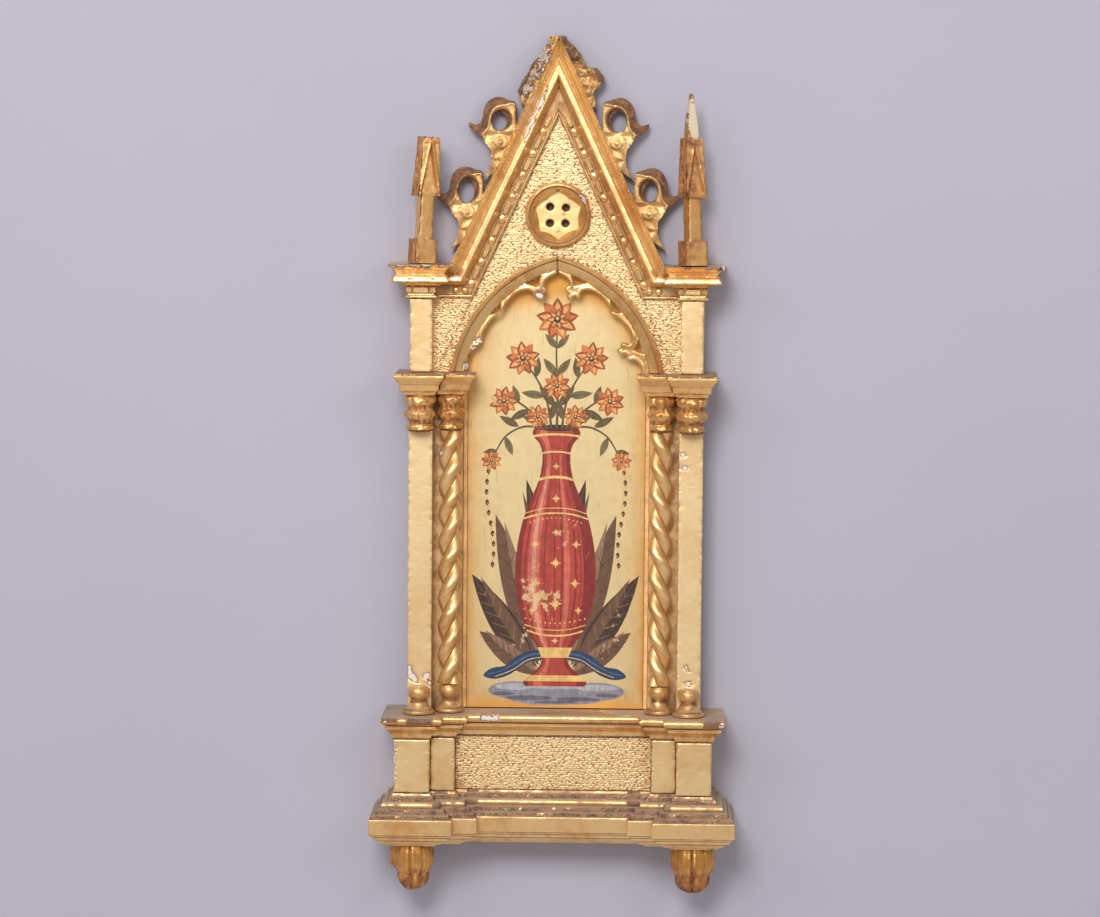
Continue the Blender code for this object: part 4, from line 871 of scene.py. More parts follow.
def old_painting_group():
    """Tempera over burnished gold leaf: brushwork, fine cracks, scratches and painted warm shade
    on the gold, strongest near the edges. It reads "paint", whose alpha is 1 where paint lies, and
    the painted shade from "dirt"."""
    group, given, put, places, (node, mix, ramp, times, _, dots) = new_group("old_painting", {
        "Leaf": (0.94, 0.74, 0.40), "Painted_shade_colour": (0.88, 0.43, 0.095)})
    layer = node("ShaderNodeAttribute", {}, attribute_name="paint", attribute_type="GEOMETRY")
    # On the panel the "dirt" mark holds only painted shade.
    painted_shade = node("ShaderNodeAttribute", {}, attribute_name="dirt",
                attribute_type="GEOMETRY").outputs["Fac"]
    upright = node("ShaderNodeMapping", {"Vector": places, "Scale": (1.0, 1.0, 0.07)}).outputs[0]
    brush = dots(upright, 520.0, 4.0, 0.6)
    cloud = dots(places, 38.0, 4.0, 0.6)
    mottle = dots(places, 230.0, 4.0, 0.65)
    scratch = ramp(dots(upright, 900.0, 2.0, 0.4), 0.66, 0.72)
    # The ground's tone: brushwork and clouds, with painted warm shade near the edges.
    toned_and_shaded = ramp(times(brush, 0.35, times(cloud, 0.55, painted_shade)), 0.40, 1.45)
    ground = mix(toned_and_shaded, given["Leaf"], given["Painted_shade_colour"])
    ground = mix(times(scratch, 0.25), ground, (0.36, 0.20, 0.08, 1))
    tint = ramp(times(brush, 0.55, times(mottle, 0.75)), 0.42, 0.95, 0.72, 1.28)
    painted = node("ShaderNodeVectorMath", {0: layer.outputs["Color"], "Scale": tint},
                   operation="SCALE").outputs[0]
    wander = node("ShaderNodeTexNoise", {"Vector": places, "Scale": 300.0}).outputs["Color"]
    wander = node("ShaderNodeVectorMath", {0: wander, 1: (0.004, 0.004, 0.004), 2: places},
                  operation="MULTIPLY_ADD").outputs[0]
    cells = node("ShaderNodeTexVoronoi", {"Vector": wander, "Scale": 330.0},
                 feature="DISTANCE_TO_EDGE").outputs["Distance"]
    crack = times(ramp(cells, 0.030, 0.008), ramp(cloud, 0.42, 0.60))
    worn = ramp(times(mottle, 0.7, cloud), 1.02, 1.10)
    covered = times(layer.outputs["Alpha"], times(worn, -0.7, 1.0))
    colour = mix(covered, ground, painted)
    crack = times(crack, ramp(covered, 0.0, 1.0, 0.12, 0.40))
    put("Color", mix(crack, colour, (0.10, 0.05, 0.03, 1)))
    put("Metallic", ramp(covered, 0.0, 1.0, 0.62, 0.0))
    put("Roughness", times(covered, 0.16, times(mottle, 0.20, 0.28)))
    put("Height", times(crack, -1.6, times(brush, 0.35, times(mottle, 0.4))))
    return group


def panel_shell(back):
    """The panel's face cut along every stroke, with the colour of the topmost one, and its
    edges and back."""
    rim = divide(opening_outline(GAP, PICTURE_FOOT + GAP), 0.0025)
    across, up = np.meshgrid(np.arange(-0.0530, 0.0531, 0.0021), np.arange(-0.284, -0.030, 0.0021))
    net = np.column_stack((across.ravel(), up.ravel()))
    net = net[inside_of(net, rim)]
    net = net[distance_to(net, [rim]) > 0.001]
    points, faces, ring = cut_flat([rim] + [outline for outline, _ in strokes], net, 1e-7)
    faces = faces[inside_of(points[faces].mean(axis=1), rim)]
    middles = points[faces].mean(axis=1)
    colours = np.zeros((len(faces), 4), dtype=np.float32)
    colours[:, :3] = SHELL_GOLD
    for outline, colour in strokes:
        colours[inside_of(middles, outline)] = (*colour, 1.0)
    body = [(x, PANEL_FACE, z) for x, z in points.tolist()]
    shell = [tuple(face) for face in faces.tolist()]
    shell.append(add_walls(body, shell, [rim], ring, back))
    return body, shell, colours


def hump(value, middle, width):
    return np.exp(-((value - middle) / width) ** 2)


painted_gold, tree, out = new_material("painted_panel_finish")
skin(tree, out, use_group(tree, old_painting_group(), {}), 0.18, 0.0003)
*shell, colours = panel_shell(BACK_BOARD_FACE - GAP)
panel = make_piece("painted_panel", shell, painted_gold)
layer = panel.data.attributes.new("paint", "FLOAT_COLOR", "CORNER")
corners = np.zeros((len(panel.data.loops), 4), dtype=np.float32)
corners[:, :3] = SHELL_GOLD
corners[:3 * len(colours)] = np.repeat(colours, 3, axis=0)
layer.data.foreach_set("color", corners.ravel())
face = np.array(shell[0])[:, [0, 2]]
# Painted warm shade on the gold ground, strongest along the niche's edge, under the top of the
# arch and along the foot.
painted_shade = 0.95 * np.exp(-distance_to(face, [opening_outline(0.0, PICTURE_FOOT)]) / 0.0080)
painted_shade += 0.75 * hump(face[:, 1], -0.0360, 0.0120)
painted_shade = np.maximum(painted_shade, 0.75 * np.exp(-(face[:, 1] - PICTURE_FOOT) / 0.0060))
layer = panel.data.attributes.new("dirt", "FLOAT", "POINT")
layer.data.foreach_set("value", painted_shade.clip(0, 1))


# The arch halves: a carved roll and a wide shallow hollow, with a cusped plate inside, glued on
# over the opening's edge. Each half is one gilt piece. A crack stands open where they meet, and
# the left one has lost its low cusp, where white gesso and red bole show.

ARCH_PROJECTION = 0.0062
STRIP_BOTTOM = -0.0876
ROLL = (
    (0.00, 0.00), (0.00, 0.55), (0.02, 0.72), (0.07, 0.90), (0.14, 1.00), (0.22, 0.97),
    (0.28, 0.84), (0.31, 0.68), (0.34, 0.60), (0.50, 0.54), (0.75, 0.48), (0.90, 0.45),
    (0.92, 0.38), (0.92, 0.00),
)
# The cusped edge: (degrees up the arc, millimetres in from the arch's outer edge)
CUSPED = {
    1: (
        (8.97, 12.8), (13.8, 12.5), (16.4, 14.0), (17.4, 15.4), (17.7, 17.2), (18.6, 18.7),
        (20.0, 19.1), (21.3, 18.5), (21.8, 19.4), (22.1, 21.0), (23.2, 22.3), (24.7, 22.3),
        (25.7, 21.2), (25.4, 19.8), (26.4, 19.3), (27.4, 18.2), (27.4, 16.7), (26.5, 15.4),
        (25.6, 14.5), (26.2, 12.9), (28.4, 11.3), (31.5, 10.7), (35.0, 11.1), (38.4, 11.8),
        (40.6, 12.8), (41.9, 13.6), (43.2, 13.0), (45.0, 11.7), (47.2, 10.9), (51.0, 10.1),
        (54.8, 10.3), (57.6, 11.4), (59.6, 13.2), (59.6, 15.0), (58.8, 16.6), (59.2, 18.3),
        (60.6, 19.1), (61.8, 18.6), (62.0, 20.1), (63.0, 21.6), (64.4, 21.7), (65.5, 20.5),
        (65.2, 19.0), (66.6, 18.6), (67.8, 17.3), (67.8, 15.6), (66.8, 14.2), (67.6, 12.2),
        (69.8, 10.7), (73.8, 10.0), (75.8, 10.0),
    ),
    -1: (
        (8.97, 8.7), (17.0, 9.0), (20.5, 9.6), (22.4, 11.2), (24.2, 12.4), (26.6, 12.0),
        (29.0, 11.0), (32.0, 10.6), (36.0, 10.7), (39.0, 11.4), (41.4, 12.6), (43.4, 12.3),
        (45.6, 11.3), (48.6, 10.6), (52.0, 10.1), (55.5, 10.6), (58.4, 12.4), (59.4, 14.4),
        (59.2, 16.4), (60.0, 18.6), (61.0, 20.6), (62.4, 21.6), (63.8, 20.8), (64.3, 19.0),
        (65.6, 18.7), (66.4, 17.2), (66.0, 15.2), (66.8, 13.2), (68.6, 11.2), (73.8, 10.0),
        (75.8, 10.0),
    ),
}
EYELETS = {
    1: (((59.8, 7.9), (67.8, 8.1), (64.2, 12.8)), ((39.6, 8.0), (46.4, 8.3), (43.0, 12.0)),
        ((18.8, 8.2), (25.0, 7.9), (22.0, 12.6))),
    -1: (((58.8, 7.9), (66.4, 8.0), (62.9, 13.0)), ((38.0, 8.2), (44.6, 8.0), (42.0, 11.4))),
}


def polar(degrees, inset, side):
    """A place on the arch, from its outer edge inwards in millimetres."""
    angle = math.radians(degrees)
    radius = ARCH_RADIUS - inset / 1000
    x = ARCH_CENTRE[0] + radius * math.cos(angle)
    return (side * max(x, GAP / 2), ARCH_CENTRE[1] + radius * math.sin(angle))


def outwards(points, faces):
    """Turns a closed shell's faces to look outwards."""
    places = np.array([tuple(point) for point in points])
    total = 0.0
    for face in faces:
        corner = places[face[0]]
        for j in range(1, len(face) - 1):
            total += corner.dot(np.cross(places[face[j]], places[face[j + 1]]))
    if total < 0:
        faces = [tuple(face[::-1]) for face in faces]
    return list(points), faces


def loft(rings):
    """A closed shell through rings of as many points each, with both ends closed."""
    count = len(rings[0])
    points = [point for ring in rings for point in ring]
    faces = []
    for row in range(len(rings) - 1):
        for i in range(count):
            j = (i + 1) % count
            low, high = row * count, (row + 1) * count
            faces.append((low + i, low + j, high + j, high + i))
    faces.append(tuple(range(count))[::-1])
    faces.append(tuple(range((len(rings) - 1) * count, len(rings) * count)))
    return outwards(points, faces)


def soften(points, rounding, step, closed=False, counts=None):
    """Rounds the corners of a line off a little and divides its straights."""
    points = [Vector(point) for point in points]
    last = len(points) - 1
    corners = []
    for i, point in enumerate(points):
        if not closed and i in (0, last):
            corners.append([point])
            continue
        before, after = points[i - 1] - point, points[(i + 1) % (last + 1)] - point
        first = point + before.normalized() * min(rounding, before.length * 0.45)
        final = point + after.normalized() * min(rounding, after.length * 0.45)
        corners.append([first, (first + final + 2 * point) / 4, final])
    line = []
    for i, corner in enumerate(corners):
        line += corner[:-1]
        if not closed and i == last:
            line.append(corner[-1])
            break
        start, end = corner[-1], corners[(i + 1) % (last + 1)][0]
        pieces = counts[i] if counts else max(1, math.ceil((end - start).length / step))
        line += [start.lerp(end, k / pieces) for k in range(pieces)]
    return line


def joined(shells):
    """Several shells as one set of points and faces."""
    points, faces = [], []
    for more, shapes in shells:
        shift = len(points)
        points += [tuple(point) for point in more]
        faces += [tuple(index + shift for index in face) for face in shapes]
    return points, faces


def arch_roll(side):
    line = [Vector((across * ARCH_MOULDING_WIDTH * 1000, out * ARCH_PROJECTION))
            for across, out in ROLL]
    steps = 110
    rings = []
    for i in range(steps + 1):
        ring = []
        for inset, out in soften(line, 0.0, 0.6):
            radius = ARCH_RADIUS - inset / 1000
            low = math.asin((STRIP_BOTTOM - ARCH_CENTRE[1]) / radius)
            high = math.acos((GAP / 2 - ARCH_CENTRE[0]) / radius)
            x, z = polar(math.degrees(low + (high - low) * i / steps), inset, side)
            ring.append((x, GROUND - out, z))
        rings.append(ring)
    return loft(rings)


def arch_plate(side):
    edge = [polar(*place, side) for place in through(CUSPED[side])]
    (low, _), (high, _) = CUSPED[side][0], CUSPED[side][-1]
    inner = [polar(high - (high - low) * i / 60, 7.5, side) for i in range(61)]
    holes = [[polar(*corner, side) for corner in eyelet] for eyelet in EYELETS[side]]

    def ridge(points, depth):
        """A carved ridge follows the cusped edge, with a hollow behind it."""
        away = distance_to(points, [edge + edge[::-1]])
        return 0.0004 * hump(away, 0.0013, 0.0007) - 0.0002

    return carved_plate([edge + inner] + holes, GROUND - 0.42 * ARCH_PROJECTION, GROUND, 0.00055,
                        rounding=0.0009, relief=ridge)


arch_gold = gilding("arch_gold", bump=0.3, toning=0.80, rub=0.34, leaf=(0.90, 0.60, 0.27),
                    shine=0.18)
ARCH_CHIPS = {
    1: [(32.5, -18.5, -58.5, 1.2, 0.4)],
    -1: [(-45.5, -18, -69.5, 1.6, 1.0), (-48, -18, -74.5, 1.8, 1.0), (-50, -18, -79.5, 2.0, 1.2),
         (-52.5, -18, -85, 2.2, 1.0), (-10.5, -18.5, -43.5, 1.8, 0.5),
         (-7.5, -18.5, -38.5, 1.1, 0.6)],
}
# The broken places: (from the middle, up, reach)
LOST = {1: (), -1: ((0.010, -0.0425, 0.0050), (0.0365, -0.0590, 0.0026),
                    (0.0500, -0.0790, 0.0045), (0.0130, -0.0360, 0.0030))}


def arch_dirt(places, side):
    """Rubbed brown on the broken parts of the left half, and a dark line up the joint."""
    x, z = places[:, 0] * side, places[:, 2]
    joint = 0.75 * fade(x - GAP / 2, 0.0010)
    inner = np.hypot(x - ARCH_CENTRE[0], z - ARCH_CENTRE[1])
    groove = 0.65 * near(inner, ARCH_RADIUS - 0.0028, 0.0007)
    lost = [0.62 * (1.3 - np.hypot(x - cx, z - cz) / size) for cx, cz, size in LOST[side]]
    return most(joint, groove, *lost)


for word, side in SIDES:
    make_piece(f"arch_{word}", joined([arch_roll(side), arch_plate(side)]), arch_gold,
               chips=ARCH_CHIPS[side], loss=0.00022, dirt=partial(arch_dirt, side=side))


# The gable mouldings: long lengths of carved softwood, gessoed and gilt, mitred at the apex and
# turned level at the foot. A cove with beads and billets by turns, a fat burnished roll and an
# outer fillet. The left one is broken at its edge below the apex.

MOULDING_PROJECTION = 0.0126
GABLE_PROFILE = (
    (0.00, 0.20), (0.05, 0.23), (0.07, 0.21), (0.09, 0.09), (0.34, 0.10), (0.365, 0.24),
    (0.38, 0.36), (0.40, 0.41), (0.43, 0.47), (0.45, 0.64), (0.47, 0.75), (0.495, 0.795),
    (0.53, 0.795), (0.58, 0.775), (0.63, 0.748), (0.67, 0.715), (0.70, 0.66), (0.72, 0.60),
    (0.75, 0.60), (0.80, 0.66), (0.86, 0.74), (0.92, 0.86), (0.955, 0.96), (0.975, 1.00),
    (1.00, 1.00),
)
BILLET_PITCH = 0.0139
FINE_PROFILE = soften(GABLE_PROFILE, 0.022, 0.028)
LEVEL_STEPS, RAKE_STEPS = 15, 122
# Shares of the moulding's width
COVE_MIDDLE, GROOVE = 0.215, 0.730


def rake_line(across, out, side):
    """The corners of the line at this distance out from the moulding's inner edge: at the
    cornice, at the turn and at the apex."""
    level = CORNICE_BOTTOM + across
    corner = GABLE_CORNER + across * math.tan((math.pi / 2 - GABLE_ANGLE) / 2)
    top = GABLE_APEX + across / math.sin(GABLE_ANGLE) - 0.00005 / math.tan(GABLE_ANGLE)
    start = STRIP_INNER - out * MOULDING_PROJECTION - GAP
    return (Vector((side * start, level)), Vector((side * corner, level)),
            Vector((side * 0.00005, top)))


def dome(centre, radii, turn=0.0):
    """A half-round boss on the face, longer one way than the other."""
    rows, count = 5, 14
    points, faces = [], []
    for row in range(rows):
        lift = math.pi / 2 * row / rows
        for u, v in oval(0, 0, radii[0] * math.cos(lift) ** 0.6, radii[2] * math.cos(lift) ** 0.6,
                         count):
            points.append((centre[0] + u * math.cos(turn) + v * math.sin(turn),
                           centre[1] - radii[1] * math.sin(lift),
                           centre[2] - u * math.sin(turn) + v * math.cos(turn)))
    points.append((centre[0], centre[1] - radii[1], centre[2]))
    for row in range(rows - 1):
        for i in range(count):
            j = (i + 1) % count
            faces.append((row * count + i, row * count + j, (row + 1) * count + j,
                          (row + 1) * count + i))
    last = (rows - 1) * count
    faces += [(last + i, last + (i + 1) % count, len(points) - 1) for i in range(count)]
    faces.append(tuple(range(count))[::-1])
    return outwards(points, faces)


def billet(centre, size, turn, corner=0.0005):
    """A raised bar with rounded edges, its length along Z before it is turned."""
    rings = []
    half = [value / 2 for value in size]
    outline = [(-half[0], -half[2]), (half[0], -half[2]), (half[0], half[2]), (-half[0], half[2])]
    for inset, out in ((0.0, 0.0), (0.0, 0.55), (0.22, 0.86), (0.6, 1.0)):
        ring = []
        for u, v in soften(outline, corner, 0.0008, closed=True, counts=(2, 6, 2, 6)):
            u -= math.copysign(min(abs(u), inset * corner), u)
            v -= math.copysign(min(abs(v), inset * corner), v)
            ring.append((centre[0] + u * math.cos(turn) + v * math.sin(turn),
                         centre[1] - out * size[1],
                         centre[2] - u * math.sin(turn) + v * math.cos(turn)))
        rings.append(ring)
    return loft(rings)


def rake_shells(side):
    rings = [[] for _ in range(LEVEL_STEPS + RAKE_STEPS + 1)]
    for across, out in list(FINE_PROFILE) + [(1.0, 0.0), (0.0, 0.0)]:
        start, turn, top = rake_line(across * MOULDING_WIDTH, out, side)
        for i, ring in enumerate(rings):
            x, z = (start.lerp(turn, i / LEVEL_STEPS) if i < LEVEL_STEPS
                    else turn.lerp(top, (i - LEVEL_STEPS) / RAKE_STEPS))
            ring.append((x, GROUND - out * MOULDING_PROJECTION, z))
    shells = [loft(rings)]
    across = MOULDING_WIDTH * COVE_MIDDLE
    _, low, high = rake_line(across, 0.0, side)
    along = (high - low).normalized()
    lean = math.atan2(along.x, along.y)
    seat = GROUND - 0.09 * MOULDING_PROJECTION
    for i in range(int((high - low).length // BILLET_PITCH)):
        bead = low + along * BILLET_PITCH * (i + 0.30)
        bar = low + along * BILLET_PITCH * (i + 0.80)
        shells.append(dome((bead.x, seat, bead.y), (0.0024, 0.0014, 0.0030), lean))
        shells.append(billet((bar.x, seat, bar.y), (0.0030, 0.0023, 0.0074), lean, 0.0007))
        across_line = Vector((along.y, -along.x)) * side
        for away in (-0.0023, 0.0023):
            thin = bar + across_line * away
            shells.append(billet((thin.x, seat, thin.y), (0.0006, 0.0012, 0.0080), lean, 0.0002))
    level = CORNICE_BOTTOM + across
    for x in (0.0535, 0.0590):
        shells.append(dome((side * x, seat, level), (0.0024, 0.0022, 0.0022)))
    return joined(shells)


def rake_place(down, away, side):
    """The point this far down the outer edge of the rake and this far off it."""
    x = down * math.sin(GABLE_ANGLE) + away * math.cos(GABLE_ANGLE)
    z = GABLE_OUTER_APEX - down * math.cos(GABLE_ANGLE) + away * math.sin(GABLE_ANGLE)
    return side * x, z


def rake_chips(side):
    """White gesso where the leaf is gone: (down the rake, off it, radius, depth) in mm."""
    spots = [(5, -0.8, 1.2, 0.8), (58, -0.6, 1.0, 0.4), (98, -0.6, 1.2, 0.5)]
    if side < 0:
        spots = [(13, -0.6, 1.6, 0.8), (17, -0.6, 1.8, 1.0), (22, -0.6, 1.8, 1.0),
                 (27, -0.5, 1.4, 0.8), (64, -8.4, 0.8, 0.3), (84, -0.8, 1.0, 0.4)]
        spots += [(down, -6.3 - 0.034 * (down - 31) - 0.4 * math.sin(down),
                   1.2 + 0.7 * math.sin(down / 3.7) ** 2, 0.45) for down in range(31, 63, 2)]
    made = []
    for down, away, radius, depth in spots:
        x, z = rake_place(down / 1000, away / 1000, side)
        y = GROUND - MOULDING_PROJECTION * (0.98 if away > -3 else 0.76)
        made.append((x * 1000, y * 1000, z * 1000, radius, depth))
    return made


def off_rake(places, side):
    """How far each place is out from the rake's outer edge."""
    x = places[:, 0] * side - (GABLE_OUTER_APEX - places[:, 2]) * math.tan(GABLE_ANGLE)
    return x * math.cos(GABLE_ANGLE)


def rake_dirt_and_shade(places, side):
    """Brown lies in the cove and in the two grooves, with thin painted shade on the slope up to
    the outer fillet.
    """
    z = places[:, 2]
    across = MOULDING_WIDTH + off_rake(places, side)
    level = (across <= 0) | (z <= CORNICE_TOP)
    share = np.where(level, np.minimum(z - CORNICE_BOTTOM, across), across) / MOULDING_WIDTH
    depth = (GROUND - places[:, 1]) / MOULDING_PROJECTION
    return most(0.42 * (np.abs(share - COVE_MIDDLE) < 0.135) * (depth < 0.12),
                0.50 * near(share, GROOVE, 0.030), 0.42 * (np.abs(share - 0.405) < 0.020),
                # Painted shade on the slope up to the outer fillet.
                0.14 * (share > 0.74) * (share < 0.955))


moulding_gold = gilding("moulding_gold", bump=0.22, toning=0.62, rub=0.36, shine=0.15)
for word, side in SIDES:
    make_piece(f"gable_moulding_{word}", rake_shells(side), moulding_gold,
               chips=rake_chips(side), loss=0.00030, dirt=partial(rake_dirt_and_shade, side=side))


# The cornice blocks: the same moulding, cut short and mitred round the heads of the upper
# strips. Carved and gilt like the gable, with a pillow in the middle of the cove. Their upper
# edges are knocked about, and the right block has lost its outer corner.

PILASTER_FACE = -0.0270
PILASTER_CENTRE = 0.0785


def moulded(outline, profile, side=1, step=0.0013, rounding=0.0004, fine=0.0006):
    """A block whose plan steps out with its profile. Each corner of the plan is
    (x, y, step in x, step in y), and the profile is (height, step) from the bottom up."""
    widest = max(out for _, out in profile)
    full = [Vector((x + dx * widest, y + dy * widest)) for x, y, dx, dy in outline]
    counts = []
    for start, end in zip(full, full[1:] + full[:1]):
        hidden = start.y > -1e-6 and end.y > -1e-6
        counts.append(6 if hidden else max(1, math.ceil((end - start).length / step)))
    rings = []
    for z, out in soften(profile, rounding, fine):
        plan = [(side * (x + dx * out), y + dy * out) for x, y, dx, dy in outline]
        ring = soften(plan, rounding, step, closed=True, counts=counts)
        rings.append([(x, y, z) for x, y in ring])
    return loft(rings)


def raised(profile, bottom, height, projection):
    """A profile of shares, at its place and size."""
    return [(bottom + share * height, out * projection) for share, out in profile]


def cornice_dirt(places):
    share = (places[:, 2] - CORNICE_BOTTOM) / MOULDING_WIDTH
    return most(0.34 * near(share, 0.22, 0.14), 0.46 * near(share, GROOVE, 0.030)) + 0.20 * (
        places[:, 2] > CORNICE_TOP - 0.0006)


CORNICE_CHIPS = {
    -1: [(-97.5, -38.5, -25.8, 2.2, 0.8), (-90, -39.5, -25.6, 2.6, 0.7),
         (-82, -39.5, -25.6, 2.0, 0.6), (-74.5, -39.5, -25.6, 2.8, 0.8),
         (-66, -39.5, -25.8, 2.0, 0.6), (-84, -37.5, -33, 1.3, 0.3),
         (-70.5, -37.5, -33.2, 1.5, 0.3)],
    1: [(97.6, -39, -26.2, 3.6, 2.2), (96.5, -38, -30, 2.6, 1.4), (88, -39.5, -25.6, 1.6, 0.5),
        (76, -39.5, -25.6, 1.4, 0.4)],
}
cornice_plan = (
    (STRIP_OUTER, 0.0, 1, 0), (STRIP_OUTER, PILASTER_FACE, 1, -1),
    (STRIP_INNER, PILASTER_FACE, -1, -1), (STRIP_INNER, GROUND, -1, 0),
    (STRIP_INNER, GROUND, 0, 0), (STRIP_INNER, 0.0, 0, 0),
)
cornice_profile = raised(GABLE_PROFILE, CORNICE_BOTTOM, MOULDING_WIDTH, MOULDING_PROJECTION)
for word, side in SIDES:
    shells = [moulded(cornice_plan, cornice_profile, side)]
    for x, length in ((STRIP_INNER - 0.0004, 0.0036), (PILASTER_CENTRE, 0.0092),
                      (STRIP_OUTER + 0.0004, 0.0036)):
        seat = (side * x, PILASTER_FACE - 0.12 * MOULDING_PROJECTION,
                CORNICE_BOTTOM + 0.24 * MOULDING_WIDTH)
        shells.append(billet(seat, (length, 0.0018, 0.0036), 0.0, 0.0007))
    make_piece(f"cornice_{word}", joined(shells), moulding_gold, chips=CORNICE_CHIPS[side],
               loss=0.00035, dirt=cornice_dirt)


# The crockets: curled leaves sawn and carved from softwood, glued to the outer edge of the
# rakes. A thin gilt rim runs round each hole, the leaf behind it flares out in worn brown, and
# a gilt stem with a curl runs down along the rake.

CROCKET_FRONT, CROCKET_BACK = -0.0125, -0.0025
# Millimetres from the hole's centre, towards the rake and up
LEAF_EDGE = (
    (9.9, 1.4), (9.7, 5.8), (9.3, 10.2), (7.6, 11.6), (4.7, 12.3), (2.4, 13.3), (-0.6, 13.8),
    (-4.0, 13.0), (-7.2, 10.4), (-9.0, 6.6), (-9.5, 3.0), (-10.2, 0.2), (-11.8, -1.7),
    (-14.0, -2.4), (-16.2, -1.4), (-17.5, -1.2), (-17.6, -2.8), (-16.2, -5.0), (-13.6, -7.2),
    (-10.8, -8.4), (-9.4, -9.2), (-8.9, -10.8), (-7.2, -13.6), (-4.9, -16.6), (-4.2, -20.0),
    (-4.4, -23.6), (-5.4, -27.4), (-7.0, -31.2), (-8.6, -33.6), (-2.0, -29.0), (3.6, -20.0),
    (8.0, -10.0), (10.0, -3.6),
)
GILT_FACE = (
    (9.9, 1.4), (9.8, 5.8), (9.3, 9.4), (8.0, 10.3), (3.6, 9.5), (-0.4, 8.8), (-3.2, 6.8),
    (-4.9, 3.4), (-5.7, 0.4), (-6.2, -2.6), (-7.6, -5.4), (-10.2, -8.3), (-9.5, -12.0),
    (-7.4, -14.0), (-5.4, -17.0), (-4.8, -20.0), (-5.0, -23.6), (-6.0, -27.4), (-9.4, -34.6),
    (-2.0, -30.0), (3.6, -20.0), (8.0, -10.0), (10.0, -3.6),
)
HOLES = {
    ("left", "upper"): (4.4, 5.4), ("left", "lower"): (4.6, 7.1),
    ("right", "upper"): (4.6, 6.2), ("right", "lower"): (3.9, 5.9),
}
CROCKET_DOWN = {"upper": 0.0597, "lower": 0.1044}


def crocket(word, side, level):
    cx, cz = rake_place(CROCKET_DOWN[level], 0.0105, side)
    wide, tall = HOLES[word, level]

    def at(loop):
        return [(cx - side * u / 1000, cz + v / 1000) for u, v in loop]

    face = at(closed_through(GILT_FACE))

    def from_hole(points):
        """Each place in millimetres from the hole's centre, and how far off the gilt face."""
        off = distance_to(points, [face]) * np.where(inside_of(points, face), -1, 1)
        return (cx - points[:, 0]) * side * 1000, (points[:, 1] - cz) * 1000, off

    def funnel(u, v):
        """The hole's flared mouth, whose lip stands off the hole towards the rake."""
        reach = np.hypot((u - 1.5) / (wide + 1.8), (v - 0.9) / (tall + 1.3))
        return ((1 - reach) / 0.30).clip(0, 1)

    def carving(points, depth):
        """The face is the highest, with a lip round the hole; the flare falls back from it."""
        u, v, off = from_hole(points)
        fall = 0.0062 * (1 - np.exp(-off.clip(0, 1) / 0.0042))
        fall += 0.0006 * (1 - hump(off, -0.0004, 0.0005)) * (off < 0)
        ribs = np.cos(13 * np.arctan2(v, u)) * (off > 0.0006) * (off < 0.0080)
        fall += 0.00012 * ribs + 0.0042 * funnel(u, v)
        dish = 0.0010 * hump(v, -8.6, 2.2) * (u > -8)
        curl, turn = np.hypot(u - 0.8, v + 12.6), np.arctan2(v + 12.6, u - 0.8)
        swirl = 0.0011 * hump(curl, 0, 1.7) + 0.0006 * hump(curl, 3.4 + 0.35 * turn, 0.8)
        leaf = 0.0004 * np.cos(3.0 * np.arctan2(v + 22, u + 3) + 0.35 * v) * (v < -15)
        stem = 0.0022 * ((-v - 12) / 22).clip(0, 1)
        return (swirl + leaf - dish - stem) * (v < -6) - fall

    def soil(places):
        u, v, off = from_hole(places[:, [0, 2]])
        behind = (places[:, 1] - CROCKET_FRONT - 0.0022) / 0.0010
        brown = np.maximum((off + 0.0002) / 0.0006, behind).clip(0, 1)
        brown *= 0.80 + 0.25 * noise_at(places, 0.0032, 5.0)
        brown = np.where(v < -12, np.minimum(brown, 0.40), brown)
        # The flare is brown; the hole's flared mouth is darkened as painted shade.
        return most(brown, 0.55 * funnel(u, v))

    hole = at(oval(0, -0.2, wide, tall, 40))
    shell = carved_plate([at(closed_through(LEAF_EDGE)), hole], CROCKET_FRONT + 0.0004,
                         CROCKET_BACK, 0.00055, rounding=0.0006, relief=carving)
    make_piece(f"crocket_{word}_{level}", shell, crocket_gold, loss=0.00030, waver=0.00008,
               dirt=soil)


crocket_gold = gilding("crocket_gold", bump=0.40, distance=0.0006, toning=0.70, rub=0.30,
                       settled=0.5, leaf=(0.88, 0.60, 0.28), deep=(0.52, 0.25, 0.08),
                       dirt=(0.21, 0.098, 0.050), dust=(0.30, 0.20, 0.15), shine=0.40)
for word, side in SIDES:
    for level in ("upper", "lower"):
        crocket(word, side, level)


# The remains of the lost top crockets: the roots of two more leaves, broken away under the
# apex. The left one is rough crackled gesso with a dark torn edge; the right one keeps a bit
# of its gilt curl over brown crumbs.

STUB_LENGTH = 0.0460
STUBS = {
    "left": ((0.01, 0.005), (0.04, 0.070), (0.07, 0.110), (0.12, 0.090), (0.17, 0.092),
             (0.24, 0.106), (0.31, 0.098), (0.40, 0.140), (0.50, 0.159), (0.60, 0.150),
             (0.70, 0.178), (0.86, 0.174), (0.90, 0.120), (1.00, 0.060), (0.96, -0.070),
             (0.16, -0.070)),
    "right": ((0.01, 0.005), (0.04, 0.070), (0.09, 0.060), (0.14, 0.079), (0.20, 0.118),
              (0.25, 0.124), (0.35, 0.150), (0.42, 0.138), (0.51, 0.152), (0.57, 0.258),
              (0.65, 0.282), (0.73, 0.290), (0.79, 0.214), (0.83, 0.102), (1.03, 0.035),
              (0.96, -0.070), (0.16, -0.070)),
}
stub_gold = gilding("broken_gilding", bump=0.9, distance=0.0010, toning=0.80, rub=0.40,
                    leaf=(0.88, 0.60, 0.28), deep=(0.52, 0.27, 0.09), bole=(0.22, 0.10, 0.05),
                    dirt=(0.18, 0.095, 0.050), gesso=(0.56, 0.50, 0.45), shine=0.42)


